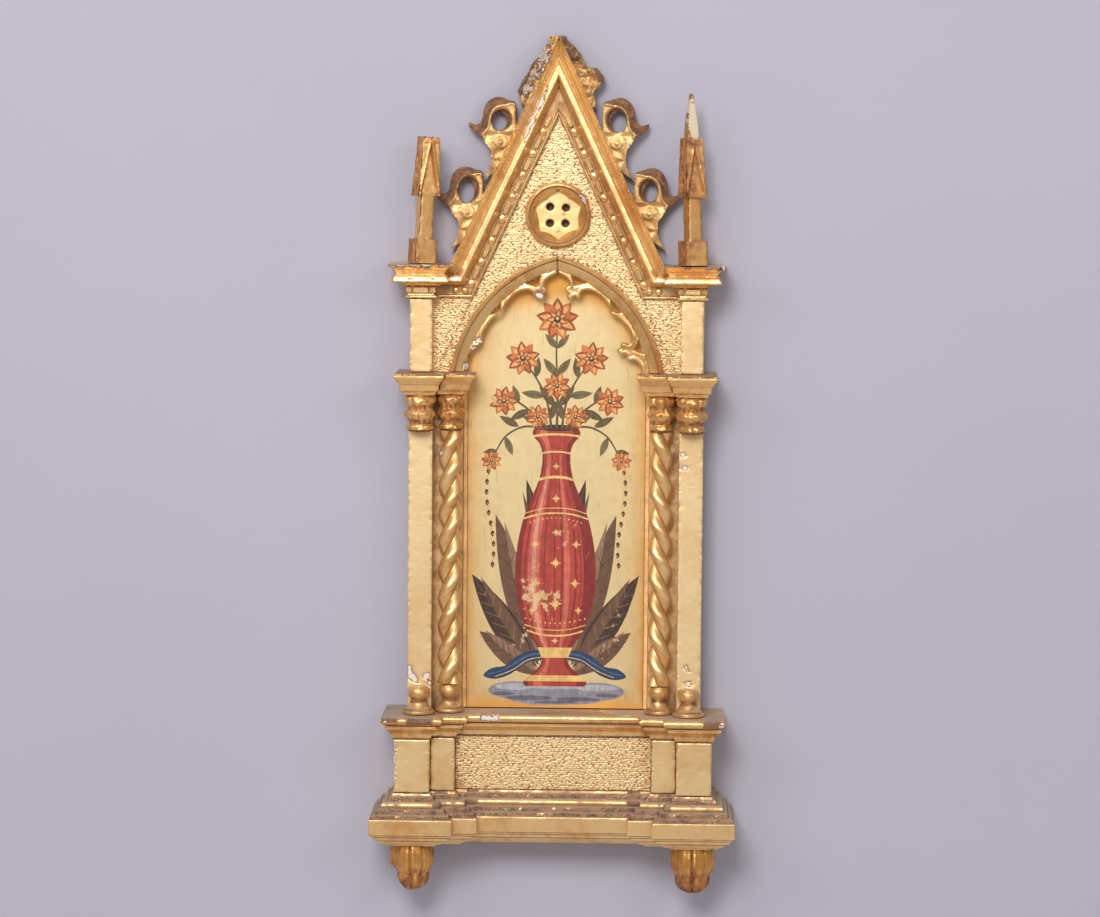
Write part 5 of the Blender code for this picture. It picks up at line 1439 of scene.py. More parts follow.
# Millimetres: (down the rake, off it, y, radius)
BARE_SPOTS = {
    "left": ((10, 2.2, -12.5, 2.0), (15, 2.6, -12.5, 3.2), (20, 3.0, -12.5, 3.8),
             (25, 3.2, -12.5, 4.2), (30, 3.4, -12.5, 4.2), (35, 3.4, -12.5, 3.8),
             (39, 2.6, -12.5, 2.8)),
    "right": ((31.5, 9.5, -12.2, 1.8),),
}


def stub(word, side):
    def torn(points, depth):
        lumps, crumbs = flat_noise(points, 260, side * 2.0, 3), flat_noise(points, 800, side * 5.0)
        return 0.0020 * lumps + 0.0008 * crumbs - 0.0016

    def soil(places):
        off, patch = off_rake(places, side), noise_at(places, 0.0035, 4.0)
        if side < 0:
            return 0.10 + 0.80 * ((off - 0.0048) / 0.0012).clip(0, 1) + 0.5 * patch
        edge = 0.6 * ((off - 0.0085) / 0.003).clip(0, 1)
        edge += 0.5 * ((places[:, 2] - 0.090) / 0.004).clip(0, 1)
        return 0.12 + 0.5 * patch + edge

    outline = [rake_place(down * STUB_LENGTH, away * STUB_LENGTH, side)
               for down, away in STUBS[word]]
    bare = []
    for down, off, y, radius in BARE_SPOTS[word]:
        x, z = rake_place(down / 1000, off / 1000, side)
        bare.append((x * 1000, y, z * 1000, radius, 0.4))
    shell = carved_plate([outline], -0.0120, -0.0030, 0.00045, rounding=0.0007, relief=torn)
    make_piece(f"crocket_stub_{word}", shell, stub_gold, chips=bare, loss=0.0006, waver=0.0004,
               dirt=soil)


for word, side in SIDES:
    stub(word, side)


# The roundel: a turned ring of limewood set over the bore, its inside carved down to a star of
# six uneven points, and a thin plate behind it drilled with four holes. All gilt, the ring's
# spandrels the deepest in tone.

RING_PROFILE = (
    (19.0, 0.0), (19.0, 0.7), (18.9, 1.3), (18.55, 2.0), (18.2, 2.5), (18.0, 3.1), (17.75, 3.5),
    (17.4, 3.6), (17.1, 3.4), (16.85, 2.8), (16.6, 2.35), (16.2, 2.2), (15.8, 1.9), (15.2, 1.2),
)
STAR_POINTS = (22.0, 90.0, 161.0, 221.0, 270.0, 328.0)


def star_radius(degrees):
    """The edge of the star-shaped opening: hollow sides between pointed corners."""
    turned = sorted(STAR_POINTS) + [STAR_POINTS[0] + 360]
    place_at = degrees if degrees >= turned[0] else degrees + 360
    for low, high in zip(turned, turned[1:]):
        if low <= place_at <= high:
            share = abs(2 * (place_at - low) / (high - low) - 1)
            return 11.7 + 2.3 * share ** 1.7
    return 11.7


def roundel_ring():
    count = 180
    rings = []
    for i in range(count):
        degrees = 360 * i / count
        edge = star_radius(degrees)
        line = list(RING_PROFILE)
        for share in (0.25, 0.5, 0.75, 0.95):
            line.append((15.2 + (edge - 15.2) * share, 1.2 - 2.9 * share ** 1.4))
        line += [(edge, -1.9), (edge, -2.6), (edge, -3.3), (edge, -3.9), (15.2, -3.9),
                 (15.2, 0.0)]
        angle = math.radians(degrees)
        rings.append([(r / 1000 * math.cos(angle), GROUND - out / 1000,
                       ROUNDEL_Z + r / 1000 * math.sin(angle)) for r, out in line])
    width = len(rings[0])
    points = [point for ring in rings for point in ring]
    faces = [(i * width + k, i * width + (k + 1) % width,
              (i + 1) % count * width + (k + 1) % width, (i + 1) % count * width + k)
             for i in range(count) for k in range(width)]
    return outwards(points, faces)


def ring_dirt_and_shade(places):
    x, z = places[:, 0], places[:, 2] - ROUNDEL_Z
    out = np.hypot(x, z)
    return most(0.80 * near(out, 0.0163, 0.0008),
                0.50 * fade(GROUND - places[:, 1], 0.0009) * (out > 0.0185),
                # Painted shade in the two deep crevices, at the top and at the left of the star.
                0.85 * near(np.hypot(x, z - 0.0138), 0, 0.0022),
                0.85 * near(np.hypot(x + 0.0133, z - 0.0040), 0, 0.0014))


roundel_gold = gilding("roundel_gold", bump=0.35, toning=0.70, rub=0.30,
                       leaf=(0.88, 0.56, 0.23), deep=(0.54, 0.22, 0.050), shine=0.22)
make_piece("roundel_ring", roundel_ring(), roundel_gold, loss=0.00015, dirt=ring_dirt_and_shade, chips=[
    (12.8, -18.2, 15, 1.5, 0.5), (14.6, -18.2, 12.8, 1.6, 0.5), (16, -18.2, 10.8, 1.0, 0.4)])

plate_gold = gilding("roundel_plate_gold", bump=0.4, toning=0.35, rub=0.25,
                     leaf=(0.96, 0.72, 0.35), deep=(0.78, 0.45, 0.14), shine=0.38)
holes = [oval(x, ROUNDEL_Z + z, 0.00236, 0.00236, 28) for x, z in (
    (-0.0047, 0.0045), (0.0045, 0.0040), (-0.0048, -0.0050), (0.0042, -0.0050))]
disc = oval(0.0, ROUNDEL_Z, ROUNDEL_BORE - GAP, ROUNDEL_BORE - GAP, 72)
make_piece("roundel_plate", carved_plate([disc] + holes, -0.0111, -0.0093, 0.00055,
                                         rounding=0.0003), plate_gold,
           loss=0.00010, waver=0.00012,
           dirt=lambda places: 0.12 + 0.42 * noise_at(places, 0.0024, 2.0))


# The pinnacles: square posts turned a little on their cornice blocks, each a worn block, a
# plain gilt shaft and a tapering head with a steep notch in every face, its corners ending
# in points. The right one keeps its burnished spire; the left one's is broken off rough.

PINNACLE_TURN = math.radians(22.0)
PINNACLE_BOTTOM = -0.0248
PINNACLE_Y = (PILASTER_FACE - MOULDING_PROJECTION) / 2


def square_post(centre, levels, notch=None, side_points=18, corner=0.10):
    """A square post through (height, width) levels, with a notch cut in each face."""
    rings = []
    for level, width in levels:
        ring = []
        for face in range(4):
            turn = PINNACLE_TURN + face * math.pi / 2
            for k in range(side_points):
                share = (k + 0.5) / side_points - 0.5
                across = share * width
                rounding = min(1.0, max(0.0, (abs(share) - 0.5 + corner) / corner))
                off = width / 2 - width * corner * 0.42 * rounding ** 2
                if notch:
                    off -= notch(share, level)
                ring.append((centre[0] + across * math.cos(turn) - off * math.sin(turn),
                             centre[1] + across * math.sin(turn) + off * math.cos(turn), level))
        rings.append(ring)
    return loft(rings)


def pinnacle(word, side, spired):
    centre = (side * PILASTER_CENTRE, PINNACLE_Y)
    block, shaft, head = (PINNACLE_BOTTOM + height for height in (0.0, 0.0140, 0.0388))
    top = head + 0.0345

    def notch(share, level):
        """The steep notch: its sides run from the corners' feet to the middle of the top."""
        up = (level - head) / (top - head)
        half = 0.44 * (1 - up / 0.93)
        inside = min(1.0, max(0.0, (half - abs(share)) / 0.055))
        rib = math.exp(-((abs(share) - half - 0.05) / 0.05) ** 2)
        return 0.0021 * inside - 0.0005 * rib * (up < 0.95)

    rows = [(block + (shaft - block) * t / 8, 0.01385) for t in range(9)]
    shells = [square_post(centre, [(block, 0.0132)] + rows + [(shaft, 0.0128)])]
    rows = [(shaft - 0.0003 + (head - shaft + 0.004) * t / 26, 0.0085) for t in range(27)]
    shells.append(square_post(centre, rows))
    rows = []
    for t in range(49):
        share = t / 48
        rows.append((head + (top - head) * share, 0.0132 - 0.0026 * share))
    shells.append(square_post(centre, rows, notch, side_points=26, corner=0.06))
    if spired:
        rows = []
        for t in range(31):
            share = t / 30
            width = 0.0076 * (1 - 0.72 * share ** 1.25) * (1 if share < 0.97 else 0.7)
            rows.append((top - 0.001 + (0.0256 + 0.001) * share, width))
        shells.append(square_post(centre, rows, corner=0.14))
    points, faces = joined(shells)
    lean = 0.0038 if side < 0 else -0.0017
    points = [(x + lean * (z - block) / (top - block), y, z) for x, y, z in points]
    if not spired:
        for i, (x, y, z) in enumerate(points):
            if z > top - 0.0035:
                torn = noise.noise((x * 420, y * 420, 1.0)) + 0.5 * noise.noise(
                    (x * 1200, y * 1200, 4.0))
                points[i] = (x, y, z - 0.0012 + 0.0024 * torn * (z - top + 0.0035) / 0.0035)

    def soil(places):
        """The block and the head are worn brown, most on the side away from the light."""
        z = places[:, 2]
        patch = noise_at(places, 0.0040, side * 3.0)
        on_head = (z > head - 0.0005) & (z < top + 0.0004)
        left_face = ((centre[0] - places[:, 0]) / 0.0066).clip(-1, 1)
        brown = np.where(on_head, 0.56 + 0.24 * left_face + 0.4 * patch, 0.10)
        brown = np.where(z < shaft + 0.0002, 0.46 + 0.22 * left_face + 0.4 * patch, brown)
        tip = ((z - top - 0.0215) / 0.0020).clip(0, 1) * 0.9
        return np.maximum(brown, tip * (1 if spired else 0)) - 0.25 * on_head * (1 - spired) * (
            left_face < 0.2)

    # The spire has lost most of its leaf, down to the creamy gesso
    bare = [(centre[0] * 1000 - 0.4, centre[1] * 1000 - 1.5, top * 1000 + 2.5 * t, 5.2, 0.08)
            for t in range(2, 8)] if spired else ()
    make_piece(f"pinnacle_{word}", (points, faces), pinnacle_gold, chips=bare, loss=0.00035,
               waver=0.00008, dirt=soil)


pinnacle_gold = gilding("pinnacle_gold", bump=0.35, toning=0.60, rub=0.42,
                        leaf=(0.90, 0.56, 0.235), dirt=(0.37, 0.155, 0.055),
                        gesso=(0.74, 0.62, 0.46), shine=0.28)
pinnacle("left", -1, False)
pinnacle("right", 1, True)


# The upper strips and the pilasters: plain planed battens down both sides of the board, with a
# smooth coat of gesso and the palest gilding of all. The leaf is thin along their edges, and
# there are white chips just over the outer bases.

PILASTER_WIDTH = 0.0141
STRIP_TOP = -0.0450
ABACUS_BOTTOM = -0.1000
BASE_BOTTOM = -0.2864


def batten(near, far, front, back, bottom, top, side, step=0.0013):
    """A plain block with softened edges."""
    plan = ((far, back, 1, 0), (far, front, 1, -1), (near, front, -1, -1), (near, back, -1, 0))
    height = top - bottom
    rows = [(bottom, -0.0004), (bottom + 0.0004, 0.0)]
    count = max(2, math.ceil(height / step))
    rows += [(bottom + 0.0004 + (height - 0.0008) * i / count, 0.0) for i in range(1, count + 1)]
    rows.append((top, -0.0004))
    return moulded(plan, rows, side, step=step, rounding=0.0005, fine=0.01)


batten_gold = gilding("batten_gold", bump=0.22, toning=0.52, rub=0.28,
                      leaf=(0.92, 0.69, 0.38), deep=(0.72, 0.42, 0.17), shine=0.34)
BATTEN_CHIPS = {
    -1: [(-85, -27, -261, 2.2, 0.5), (-84.5, -27.5, -264, 2.6, 0.6),
         (-81, -27.5, -266.8, 2.2, 0.5), (-74.5, -27.2, -265.5, 1.8, 0.4),
         (-72, -27.5, -269, 2.0, 0.5), (-68, -27, -133.5, 1.6, 0.6)],
    1: [(77.2, -27.5, -258.5, 2.0, 0.5), (78.5, -27.5, -268, 1.8, 0.7),
        (73.5, -27.5, -134, 1.6, 0.4), (75, -27.5, -142, 1.4, 0.3), (79, -27.5, -152, 1.1, 0.3)],
}
for word, side in SIDES:
    shell = batten(STRIP_INNER, STRIP_OUTER, PILASTER_FACE, GROUND, STRIP_BOTTOM, STRIP_TOP, side)
    make_piece(f"upper_strip_{word}", shell, batten_gold, loss=0.00030, waver=0.00005,
               dirt=lambda places: 0.5 * fade(STRIP_TOP - places[:, 2], 0.0015))
    shell = batten(BOARD_HALF_WIDTH - PILASTER_WIDTH, BOARD_HALF_WIDTH, PILASTER_FACE, GROUND,
                   BASE_BOTTOM, ABACUS_BOTTOM - GAP, side)
    make_piece(f"pilaster_{word}", shell, batten_gold, chips=BATTEN_CHIPS[side], loss=0.00035,
               waver=0.00005,
               dirt=lambda places: 0.45 * fade(-0.118 - places[:, 2], 0.006))


# The capitals: each is carved from one block, a moulded square abacus over a bell with two
# rings of round buds, a neck and a collar. The outer ones wrap the heads of the pilasters, the
# inner ones stand on the twisted columns. Gilt over a warm brown that shows between the buds.

BELL_BOTTOM, BELL_HEIGHT = -0.1213, 0.0213
ABACUS_HEIGHT, ABACUS_PROJECTION, ABACUS_HALF = 0.0121, 0.0057, 0.0088
COLUMN_CENTRE, COLUMN_Y = 0.0611, -0.0228
OUTER_BELL_Y = -0.0320
ABACUS_PROFILE = (
    (0.00, 0.06), (0.17, 0.22), (0.20, 0.40), (0.50, 0.44), (0.54, 0.58), (0.62, 0.66),
    (0.72, 0.84), (0.77, 0.90), (0.83, 1.00), (1.00, 0.97),
)
BELL = (
    (-0.02, 0.58), (0.02, 0.72), (0.06, 0.78), (0.13, 0.79), (0.17, 0.73), (0.20, 0.66),
    (0.27, 0.65), (0.31, 0.72), (0.36, 0.86), (0.42, 0.96), (0.49, 0.97), (0.55, 0.86),
    (0.60, 0.73), (0.64, 0.68), (0.69, 0.72), (0.74, 0.86), (0.80, 0.98), (0.87, 1.01),
    (0.93, 0.93), (0.98, 0.80), (1.02, 0.78),
)
RINGS_OF_LOBES = ((0.455, 0.10, 0.5), (0.835, 0.10, 0.0))


def turned(rows, count, place):
    """A closed shell of rings, each as many points round, as placed by its row and angle."""
    return loft([[place(row, 2 * math.pi * i / count) for i in range(count)] for row in rows])


def bell(centre, radius, back):
    """The bell, flat where it meets what is behind it, with two rings of worn leaf tips."""
    def place(row, angle):
        up, reach = row
        for middle, half, start in RINGS_OF_LOBES:
            swell = math.exp(-((up - middle) / half) ** 2)
            wave = abs(math.cos(3 * (angle + math.pi / 2) + start * math.pi))
            reach -= swell * (0.12 * (1 - wave) ** 1.5)
        reach += 0.11 * noise.noise((3.2 * math.cos(angle) + 90 * centre[0],
                                     3.2 * math.sin(angle), 9 * up))
        return (centre[0] + radius * reach * math.cos(angle),
                min(centre[1] + radius * reach * math.sin(angle), back),
                BELL_BOTTOM + up * BELL_HEIGHT)

    return turned(soften(BELL, 0.02, 0.022), 72, place)


def capital_dirt(places, centre, radius):
    """Brown between the buds and under them."""
    up = (places[:, 2] - BELL_BOTTOM) / BELL_HEIGHT
    out = np.hypot(places[:, 0] - centre[0], places[:, 1] - centre[1]) / radius
    bare = 0.60 * fade(out - 0.66, 0.20) * (up < 1.0) * (up > 0.2)
    waist = (0.52 * hump(up, 0.64, 0.06) + 0.50 * hump(up, 0.24, 0.05)) * (up < 1.0)
    line = 0.60 * (np.abs(places[:, 2] - ABACUS_TOP + 0.0003) < 0.0003)
    return most(bare, waist, 0.70 * (up < 0.06), 0.30 * (np.abs(up - 1.10) < 0.05), line)


capital_gold = gilding("capital_gold", bump=0.30, toning=0.80, rub=0.36, settled=0.6,
                       leaf=(0.90, 0.565, 0.235), dirt=(0.26, 0.100, 0.030), shine=0.26)
abacus_profile = raised(ABACUS_PROFILE, ABACUS_BOTTOM, ABACUS_HEIGHT, ABACUS_PROJECTION)
for word, side in SIDES:
    for which, x, y, far, radius, back in (
            ("outer", PILASTER_CENTRE, OUTER_BELL_Y, PILASTER_CENTRE + ABACUS_HALF, 0.0096,
             PILASTER_FACE),
            ("inner", COLUMN_CENTRE, COLUMN_Y, PILASTER_CENTRE - ABACUS_HALF - GAP, 0.0087,
             GROUND)):
        front = y - ABACUS_HALF
        plan = ((far, front, 1 if which == "outer" else -1, -1), (x - ABACUS_HALF, front, -1, -1),
                (x - ABACUS_HALF, GROUND, -1, 0))
        if which == "outer":
            plan = ((far, 0.0, 1, 0),) + plan + (
                (BOARD_HALF_WIDTH + GAP, GROUND, 0, 0), (BOARD_HALF_WIDTH + GAP, 0.0, 0, 0))
        else:
            plan = ((far, GROUND, -1, 0),) + plan
        centre = (side * x, y)
        shell = joined([moulded(plan, abacus_profile, side, step=0.0010),
                        bell(centre, radius, back - GAP)])
        dirt = partial(capital_dirt, centre=centre, radius=min(radius, 0.0095))
        make_piece(f"capital_{which}_{word}", shell, capital_gold, loss=0.00030, waver=0.00014,
                   dirt=dirt)


# The twisted columns: two round strands carved from one stick, turning opposite ways on the
# two sides of the niche, burnished bright on their crests and brown in the deep grooves.

COLUMN_BOTTOM, COLUMN_HEIGHT = -0.2700, 0.1484
STRAND_RADIUS, STRAND_OFFSET, STRAND_PITCH = 0.0042, 0.00285, 0.0330


def twisted_column(side):
    steps = 240

    def place(height, angle):
        turn = -2 * math.pi * height / STRAND_PITCH
        off = math.sin(angle) * STRAND_OFFSET
        out = abs(math.cos(angle)) * STRAND_OFFSET + math.sqrt(STRAND_RADIUS ** 2 - off ** 2)
        return (side * (COLUMN_CENTRE + out * math.cos(angle + turn)),
                COLUMN_Y + out * math.sin(angle + turn), COLUMN_BOTTOM + height)

    return turned([COLUMN_HEIGHT * step / steps for step in range(steps + 1)], 40, place)


def column_dirt(places, side):
    out = np.hypot(places[:, 0] - side * COLUMN_CENTRE, places[:, 1] - COLUMN_Y)
    return most(0.75 * ((0.0035 - out) / 0.0003).clip(0, 1),
                0.35 * fade(places[:, 2] - COLUMN_BOTTOM, 0.003))


column_gold = gilding("column_gold", bump=0.25, toning=0.60, rub=0.22, shine=0.27)
COLUMN_CHIPS = {
    -1: [(-66.8, -27, -134.5, 1.8, 0.6), (-62, -30, -158.5, 1.2, 0.3),
         (-59.5, -30, -188, 0.9, 0.3)],
    1: [(60, -30, -150, 1.0, 0.3), (63, -30, -223, 1.2, 0.3)],
}
for word, side in SIDES:
    make_piece(f"twisted_column_{word}", twisted_column(side), column_gold,
               chips=COLUMN_CHIPS[side], loss=0.00015, waver=0.00012,
               dirt=partial(column_dirt, side=side), widen=0)


# The bases: turned like chessmen, a spreading foot, a neck and a ball, gilt, with dust and
# brown settled in the neck. The outer ones are cut flat to stand against the pilasters.

BASE_HEIGHT = 0.0161
BASE = (
    (0.00, 0.90), (0.03, 1.00), (0.11, 1.00), (0.15, 0.93), (0.20, 0.84), (0.27, 0.68),
    (0.34, 0.58), (0.41, 0.52), (0.50, 0.46), (0.55, 0.50), (0.60, 0.60), (0.67, 0.68),
    (0.75, 0.72), (0.85, 0.70), (0.93, 0.62), (0.98, 0.54),
)


def turned_base(centre, radius, back):
    def place(row, angle):
        up, out = row
        return (centre[0] + out * radius * math.cos(angle),
                min(centre[1] + out * radius * math.sin(angle), back),
                BASE_BOTTOM + up * BASE_HEIGHT)

    return turned(soften(BASE, 0.015, 0.02), 44, place)


def base_dirt(places):
    up = (places[:, 2] - BASE_BOTTOM) / BASE_HEIGHT
    return 0.58 * hump(up, 0.47, 0.10) + 0.46 * hump(up, 0.17, 0.06) + 0.14 + 0.3 * noise_at(
        places, 0.0045, 8.0)


base_gold = gilding("base_gold", bump=0.32, toning=0.70, rub=0.36, settled=0.8,
                    leaf=(0.90, 0.59, 0.26), dirt=(0.24, 0.105, 0.040), shine=0.26)
for word, side in SIDES:
    for which, x, y, radius, back in (
            ("outer", PILASTER_CENTRE, OUTER_BELL_Y, 0.0092, PILASTER_FACE - GAP),
            ("inner", COLUMN_CENTRE, COLUMN_Y, 0.0084, GROUND - GAP)):
        make_piece(f"base_{which}_{word}", turned_base((side * x, y), radius, back), base_gold,
                   loss=0.00025, waver=0.00010, dirt=base_dirt)


# The sill: one stepped moulding that breaks forward over the inner and the outer pedestals.
# Gilt softwood, rounded by handling, dusty on top, with chips to the gesso and the wood.

SILL_BOTTOM, SILL_HEIGHT, SILL_PROJECTION = -0.3000, 0.0133, 0.0077
PLINTH_BOTTOM, PLINTH_HEIGHT, PLINTH_PROJECTION = -0.3621, 0.0302, 0.0138
INNER_PEDESTAL = (0.0573, 0.0713, -0.0345)
OUTER_PEDESTAL = (0.0716, 0.0922, -0.0425)
PREDELLA_HALF_WIDTH, PREDELLA_FACE = 0.0570, -0.0265
SILL_PROFILE = (
    (0.00, 0.10), (0.06, 0.12), (0.20, 0.20), (0.28, 0.27), (0.34, 0.36), (0.40, 0.47),
    (0.44, 0.56), (0.46, 0.64), (0.58, 0.68), (0.60, 0.58), (0.66, 0.60), (0.68, 0.84),
    (0.72, 0.93), (0.79, 1.00), (0.87, 1.00), (0.94, 0.95), (1.00, 0.82),
)


def base_plan():
    """The plan of the base, stepping forward from the middle to the outer pedestals."""
    right = (
        (OUTER_PEDESTAL[1], 0.0, 1, 0), (OUTER_PEDESTAL[1], OUTER_PEDESTAL[2], 1, -1),
        (OUTER_PEDESTAL[0], OUTER_PEDESTAL[2], -1, -1),
        (OUTER_PEDESTAL[0], INNER_PEDESTAL[2], -1, -1),
        (INNER_PEDESTAL[0], INNER_PEDESTAL[2], -1, -1),
        (INNER_PEDESTAL[0], PREDELLA_FACE, -1, -1),
    )
    return right + tuple((-x, y, -dx, dy) for x, y, dx, dy in reversed(right))


def sill_dirt(places):
    x, share = places[:, 0], (places[:, 2] - SILL_BOTTOM) / SILL_HEIGHT
    quirk = 0.80 * hump(share, 0.63, 0.03) + 0.60 * (share < 0.08) + 0.40 * hump(share, 0.30, 0.05)
    inside = 0.35 * (np.abs(np.abs(x) - 0.0530) < 0.0016)
    inside += 0.35 * (np.abs(np.abs(x) - 0.0655) < 0.0014)
    patch = most(np.exp(-((x + 0.0770) / 0.0085) ** 4), np.exp(-((x - 0.0920) / 0.0055) ** 4))
    return most(quirk, inside, 0.34 * (share > 0.985),
                0.95 * hump(x, -0.0945, 0.0060) * (share > 0.80),
                patch * 0.90 * (share > 0.72) * (places[:, 1] < -0.046))


sill_gold = gilding("sill_gold", bump=0.30, toning=0.85, rub=0.34, settled=0.85,
                    leaf=(0.90, 0.585, 0.25), dirt=(0.20, 0.095, 0.050),
                    dust=(0.46, 0.38, 0.31), shine=0.18)
SILL_CHIPS = [
    (-40.5, -33.8, -288.8, 2.4, 0.7), (-37, -34, -288.6, 2.4, 0.7), (-33.8, -34, -288.8, 2.0, 0.6),
    (-96.8, -49.8, -288.8, 1.3, 0.5), (97.5, -49, -290.5, 2.4, 0.9),
]
sill_profile = raised(SILL_PROFILE, SILL_BOTTOM, SILL_HEIGHT, SILL_PROJECTION)
make_piece("sill", moulded(base_plan(), sill_profile, step=0.0012), sill_gold, chips=SILL_CHIPS,
           loss=0.00035, waver=0.00010, dirt=sill_dirt)


# The pedestals: two plain gilt blocks on each side, the inner one set back. Thin lines of white
# gesso show along their edges, where the leaf and the bole have come away.

PEDESTAL_BOTTOM, PEDESTAL_TOP = -0.3316, -0.3003
pedestal_gold = gilding("pedestal_gold", bump=0.25, toning=0.48, rub=0.30,
                        leaf=(0.91, 0.66, 0.34), deep=(0.68, 0.37, 0.13), shine=0.31)
PEDESTAL_CHIPS = {
    (-1, "outer"): [(-92.2, -42.5, z, 1.1, 0.4)
                    for z in (-303, -305.5, -308, -311, -313.5, -316, -319, -322, -325)],
    (-1, "inner"): [(-57.3, -34.5, z, 0.7, 0.3) for z in (-304, -309, -315)],
    (1, "outer"): [(92.2, -42.5, z, 0.8, 0.3) for z in (-308, -318, -327)]
    + [(71.6, -42.5, -327.5, 0.7, 0.3)],
    (1, "inner"): [(57.3, -34.5, z, 0.8, 0.4) for z in (-316, -319)]
    + [(71.3, -34.5, z, 0.8, 0.3) for z in (-303, -306, -309, -312)],
}


def pedestal_dirt(places):
    return most(0.55 * fade(places[:, 2] - PEDESTAL_BOTTOM, 0.0018),
                0.45 * fade(PEDESTAL_TOP - places[:, 2], 0.0014))


for word, side in SIDES:
    for which, (near_x, far_x, front) in (("outer", OUTER_PEDESTAL), ("inner", INNER_PEDESTAL)):
        shell = batten(near_x, far_x, front, 0.0, PEDESTAL_BOTTOM, PEDESTAL_TOP, side, step=0.0010)
        make_piece(f"pedestal_{which}_{word}", shell, pedestal_gold,
                   chips=PEDESTAL_CHIPS[side, which], loss=0.00035, waver=0.00014,
                   dirt=pedestal_dirt)


# The predella panel: a block between the pedestals, its face punched all over like the gable
# and gilt. The grains are rubbed bright in the middle and brown at the two ends.

PREDELLA_DEPTH = 0.00044


def predella_relief(points, depth):
    broad = flat_noise(points, 260, 5.0)
    return PREDELLA_DEPTH * (punched(points, PREDELLA_SEED) * (0.8 + 0.4 * broad) - 1.0)


def predella_dirt(places):
    return most(0.44 * (punched(places[:, [0, 2]], PREDELLA_SEED) < 0.10),
                0.34 * ((np.abs(places[:, 0]) - 0.0440) / 0.0130).clip(0, 1),
                0.40 * fade(places[:, 2] - PEDESTAL_BOTTOM, 0.0022),
                0.40 * fade(PEDESTAL_TOP - places[:, 2], 0.0020))


outline = [(-PREDELLA_HALF_WIDTH, PEDESTAL_BOTTOM), (PREDELLA_HALF_WIDTH, PEDESTAL_BOTTOM),
           (PREDELLA_HALF_WIDTH, PEDESTAL_TOP), (-PREDELLA_HALF_WIDTH, PEDESTAL_TOP)]
shell = carved_plate([outline], PREDELLA_FACE, 0.0, 0.00042, relief=predella_relief)
make_piece("predella_panel", shell, punched_gold, flat=60, loss=0.0, waver=0.00005,
           dirt=predella_dirt, widen=0, sunken=partial(between_grains, seed=PREDELLA_SEED))


# The plinth: a deep stepped moulding on the same plan. Its broad gilt band is burnished and a
# little green with age; above it, rows of fine carved beads are worn brown and dusty, with a
# smooth roll between them, and below it the steps turn under.

PLINTH_PROFILE = (
    (0.00, 0.30), (0.04, 0.34), (0.05, 0.50), (0.10, 0.56), (0.13, 0.68), (0.14, 0.78),
    (0.20, 0.82), (0.215, 0.92), (0.245, 0.94), (0.255, 1.00), (0.550, 1.00), (0.560, 0.95),
    (0.565, 0.89), (0.600, 0.89), (0.630, 0.87), (0.645, 0.72), (0.660, 0.71), (0.695, 0.70),
    (0.730, 0.66), (0.740, 0.44), (0.765, 0.49), (0.800, 0.50), (0.830, 0.47), (0.855, 0.40),
    (0.865, 0.21), (0.900, 0.20), (0.945, 0.16), (0.955, 0.06), (1.00, 0.05),
)
BEADED_ROWS = ((0.600, 0.034), (0.692, 0.044), (0.908, 0.042))
BEAD_PITCH = 0.00180


def plinth_dirt(places):
    x = np.abs(places[:, 0])
    share = (places[:, 2] - PLINTH_BOTTOM) / PLINTH_HEIGHT
    rows = most(*[0.62 * (np.abs(share - middle) < half) for middle, half in BEADED_ROWS])
    patch = noise_at(places, 0.0060, 9.0)
    fleck = noise_at(places * (1.0, 1.0, 2.0), 0.0012, 3.0)
    rows += (0.25 * patch + 0.3 * fleck) * (rows > 0)
    lines = [0.80 * near(share, line, 0.014)
             for line in (0.045, 0.135, 0.210, 0.252, 0.560, 0.642, 0.736, 0.862, 0.951)]
    corner = most(0.42 * (np.abs(x - 0.0470) < 0.0040), 0.36 * (np.abs(x - 0.0650) < 0.0040))
    upper = (0.28 + 0.3 * patch + corner) * (share > 0.555)
    return most(rows, *lines, upper, 0.10 * (share < 0.555))


plinth_gold = gilding("plinth_gold", bump=0.35, distance=0.0006, toning=0.62, rub=0.36,
                      settled=0.9, leaf=(0.91, 0.61, 0.29), dirt=(0.25, 0.125, 0.065),
                      shine=0.26)
plinth_profile = raised(PLINTH_PROFILE, PLINTH_BOTTOM, PLINTH_HEIGHT, PLINTH_PROJECTION)
points, faces = moulded(base_plan(), plinth_profile, step=0.0008, rounding=0.0003, fine=0.0007)
beaded = []
for x, y, z in points:
    share = (z - PLINTH_BOTTOM) / PLINTH_HEIGHT
    swell = 0.0
    for middle, half in BEADED_ROWS:
        if abs(share - middle) < half:
            run = x if abs(y) > 0.0 else 0.0
            swell = 0.00030 * abs(math.sin((run + y * 0.97) * math.pi / BEAD_PITCH))
            swell += 0.0003 * noise.noise((x * 900, y * 900, z * 900))
    beaded.append((x + math.copysign(swell, x) * (abs(x) > 0.092), y - swell * (y < -0.001), z))
PLINTH_CHIPS = [
    (0.5, -36.5, -340.8, 1.1, 0.3), (71.2, -50, -357.5, 1.4, 0.6), (70.5, -54, -360, 1.4, 0.6),
    (-104.5, -54, -359, 2.2, 0.9), (48, -40.5, -349, 0.8, 0.4), (-66, -48, -348, 1.2, 0.4),
]
make_piece("plinth", (beaded, faces), plinth_gold, chips=PLINTH_CHIPS, loss=0.00035,
           waver=0.00008, dirt=plinth_dirt)


# The feet: buds of leaves carved in the round from the end grain and glued under the plinth.
# A double rib runs down the front, with combed lobes beside it and two smaller lobes below.
# Gilt, but worn to a deep brown; the left one has lost the lower part of its outer lobe.

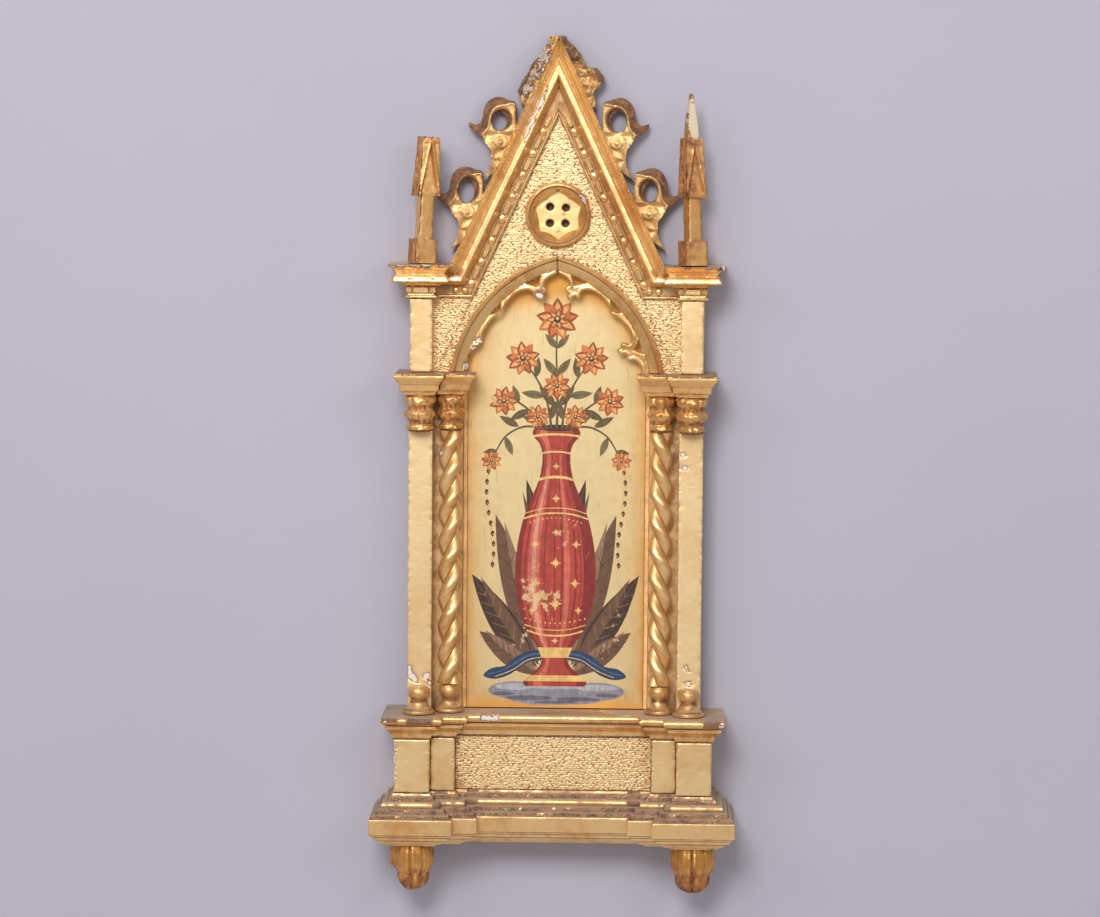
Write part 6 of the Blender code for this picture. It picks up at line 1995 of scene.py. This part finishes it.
FOOT_BOTTOM, FOOT_HEIGHT = -0.3900, 0.0276
FOOT_X, FOOT_Y, FOOT_RADIUS = 0.0819, -0.0330, 0.0121
FOOT_SHAPE = (
    (1.00, 0.94), (0.96, 0.97), (0.86, 1.03), (0.72, 1.07), (0.60, 1.06), (0.50, 0.99),
    (0.43, 0.90), (0.38, 0.83), (0.34, 0.83), (0.28, 0.86), (0.20, 0.83), (0.12, 0.73),
    (0.06, 0.58), (0.02, 0.42), (0.00, 0.24),
)


def foot(side):
    def place(row, angle):
        up, core = row
        upper = min(1.0, max(0.0, (up - 0.36) / 0.05))
        front = math.remainder(angle + math.pi / 2, 2 * math.pi)
        lobe = 1 - 0.10 * (1 - abs(math.cos(2 * front + 0.25))) ** 2
        rib = 0.055 * (math.exp(-((front - 0.10) / 0.085) ** 2)
                       + math.exp(-((front + 0.18) / 0.085) ** 2))
        rib -= 0.070 * math.exp(-((front + 0.04) / 0.045) ** 2)
        comb = 0.016 * math.cos(26 * front) * (abs(front) > 0.42)
        cleft = 0.20 * math.exp(-(front / 0.13) ** 2) * (1 - upper)
        cleft += 0.10 * math.exp(-((abs(front) - 1.25) / 0.16) ** 2) * (1 - upper)
        out = core * lobe + (rib + comb) * upper - cleft * min(1.0, 1.3 - up)
        if side < 0 and up < 0.52:
            gone = math.exp(-((front + 1.45) / 0.62) ** 2)
            out -= 0.17 * gone * min(1.0, (0.52 - up) / 0.08)
        return (side * FOOT_X + FOOT_RADIUS * out * math.cos(angle),
                FOOT_Y + FOOT_RADIUS * out * math.sin(angle), FOOT_BOTTOM + up * FOOT_HEIGHT)

    return turned(soften(FOOT_SHAPE, 0.02, 0.016), 112, place)


def foot_dirt(places):
    up = (places[:, 2] - FOOT_BOTTOM) / FOOT_HEIGHT
    patch = noise_at(places, 0.0050, 6.0)
    low = 0.26 * fade(up - 0.30, 0.25)
    back = 0.30 * ((places[:, 1] - FOOT_Y + 0.004) / 0.008).clip(0, 1)
    return 0.30 + np.maximum(low, back) + 0.35 * patch


foot_gold = gilding("foot_gold", bump=0.50, distance=0.0006, toning=0.75, rub=0.36,
                    leaf=(0.88, 0.46, 0.13), deep=(0.54, 0.19, 0.036),
                    dirt=(0.26, 0.095, 0.030), shine=0.24)
for word, side in SIDES:
    make_piece(f"foot_{word}", foot(side), foot_gold, loss=0.00035, waver=0.00014,
               dirt=foot_dirt)
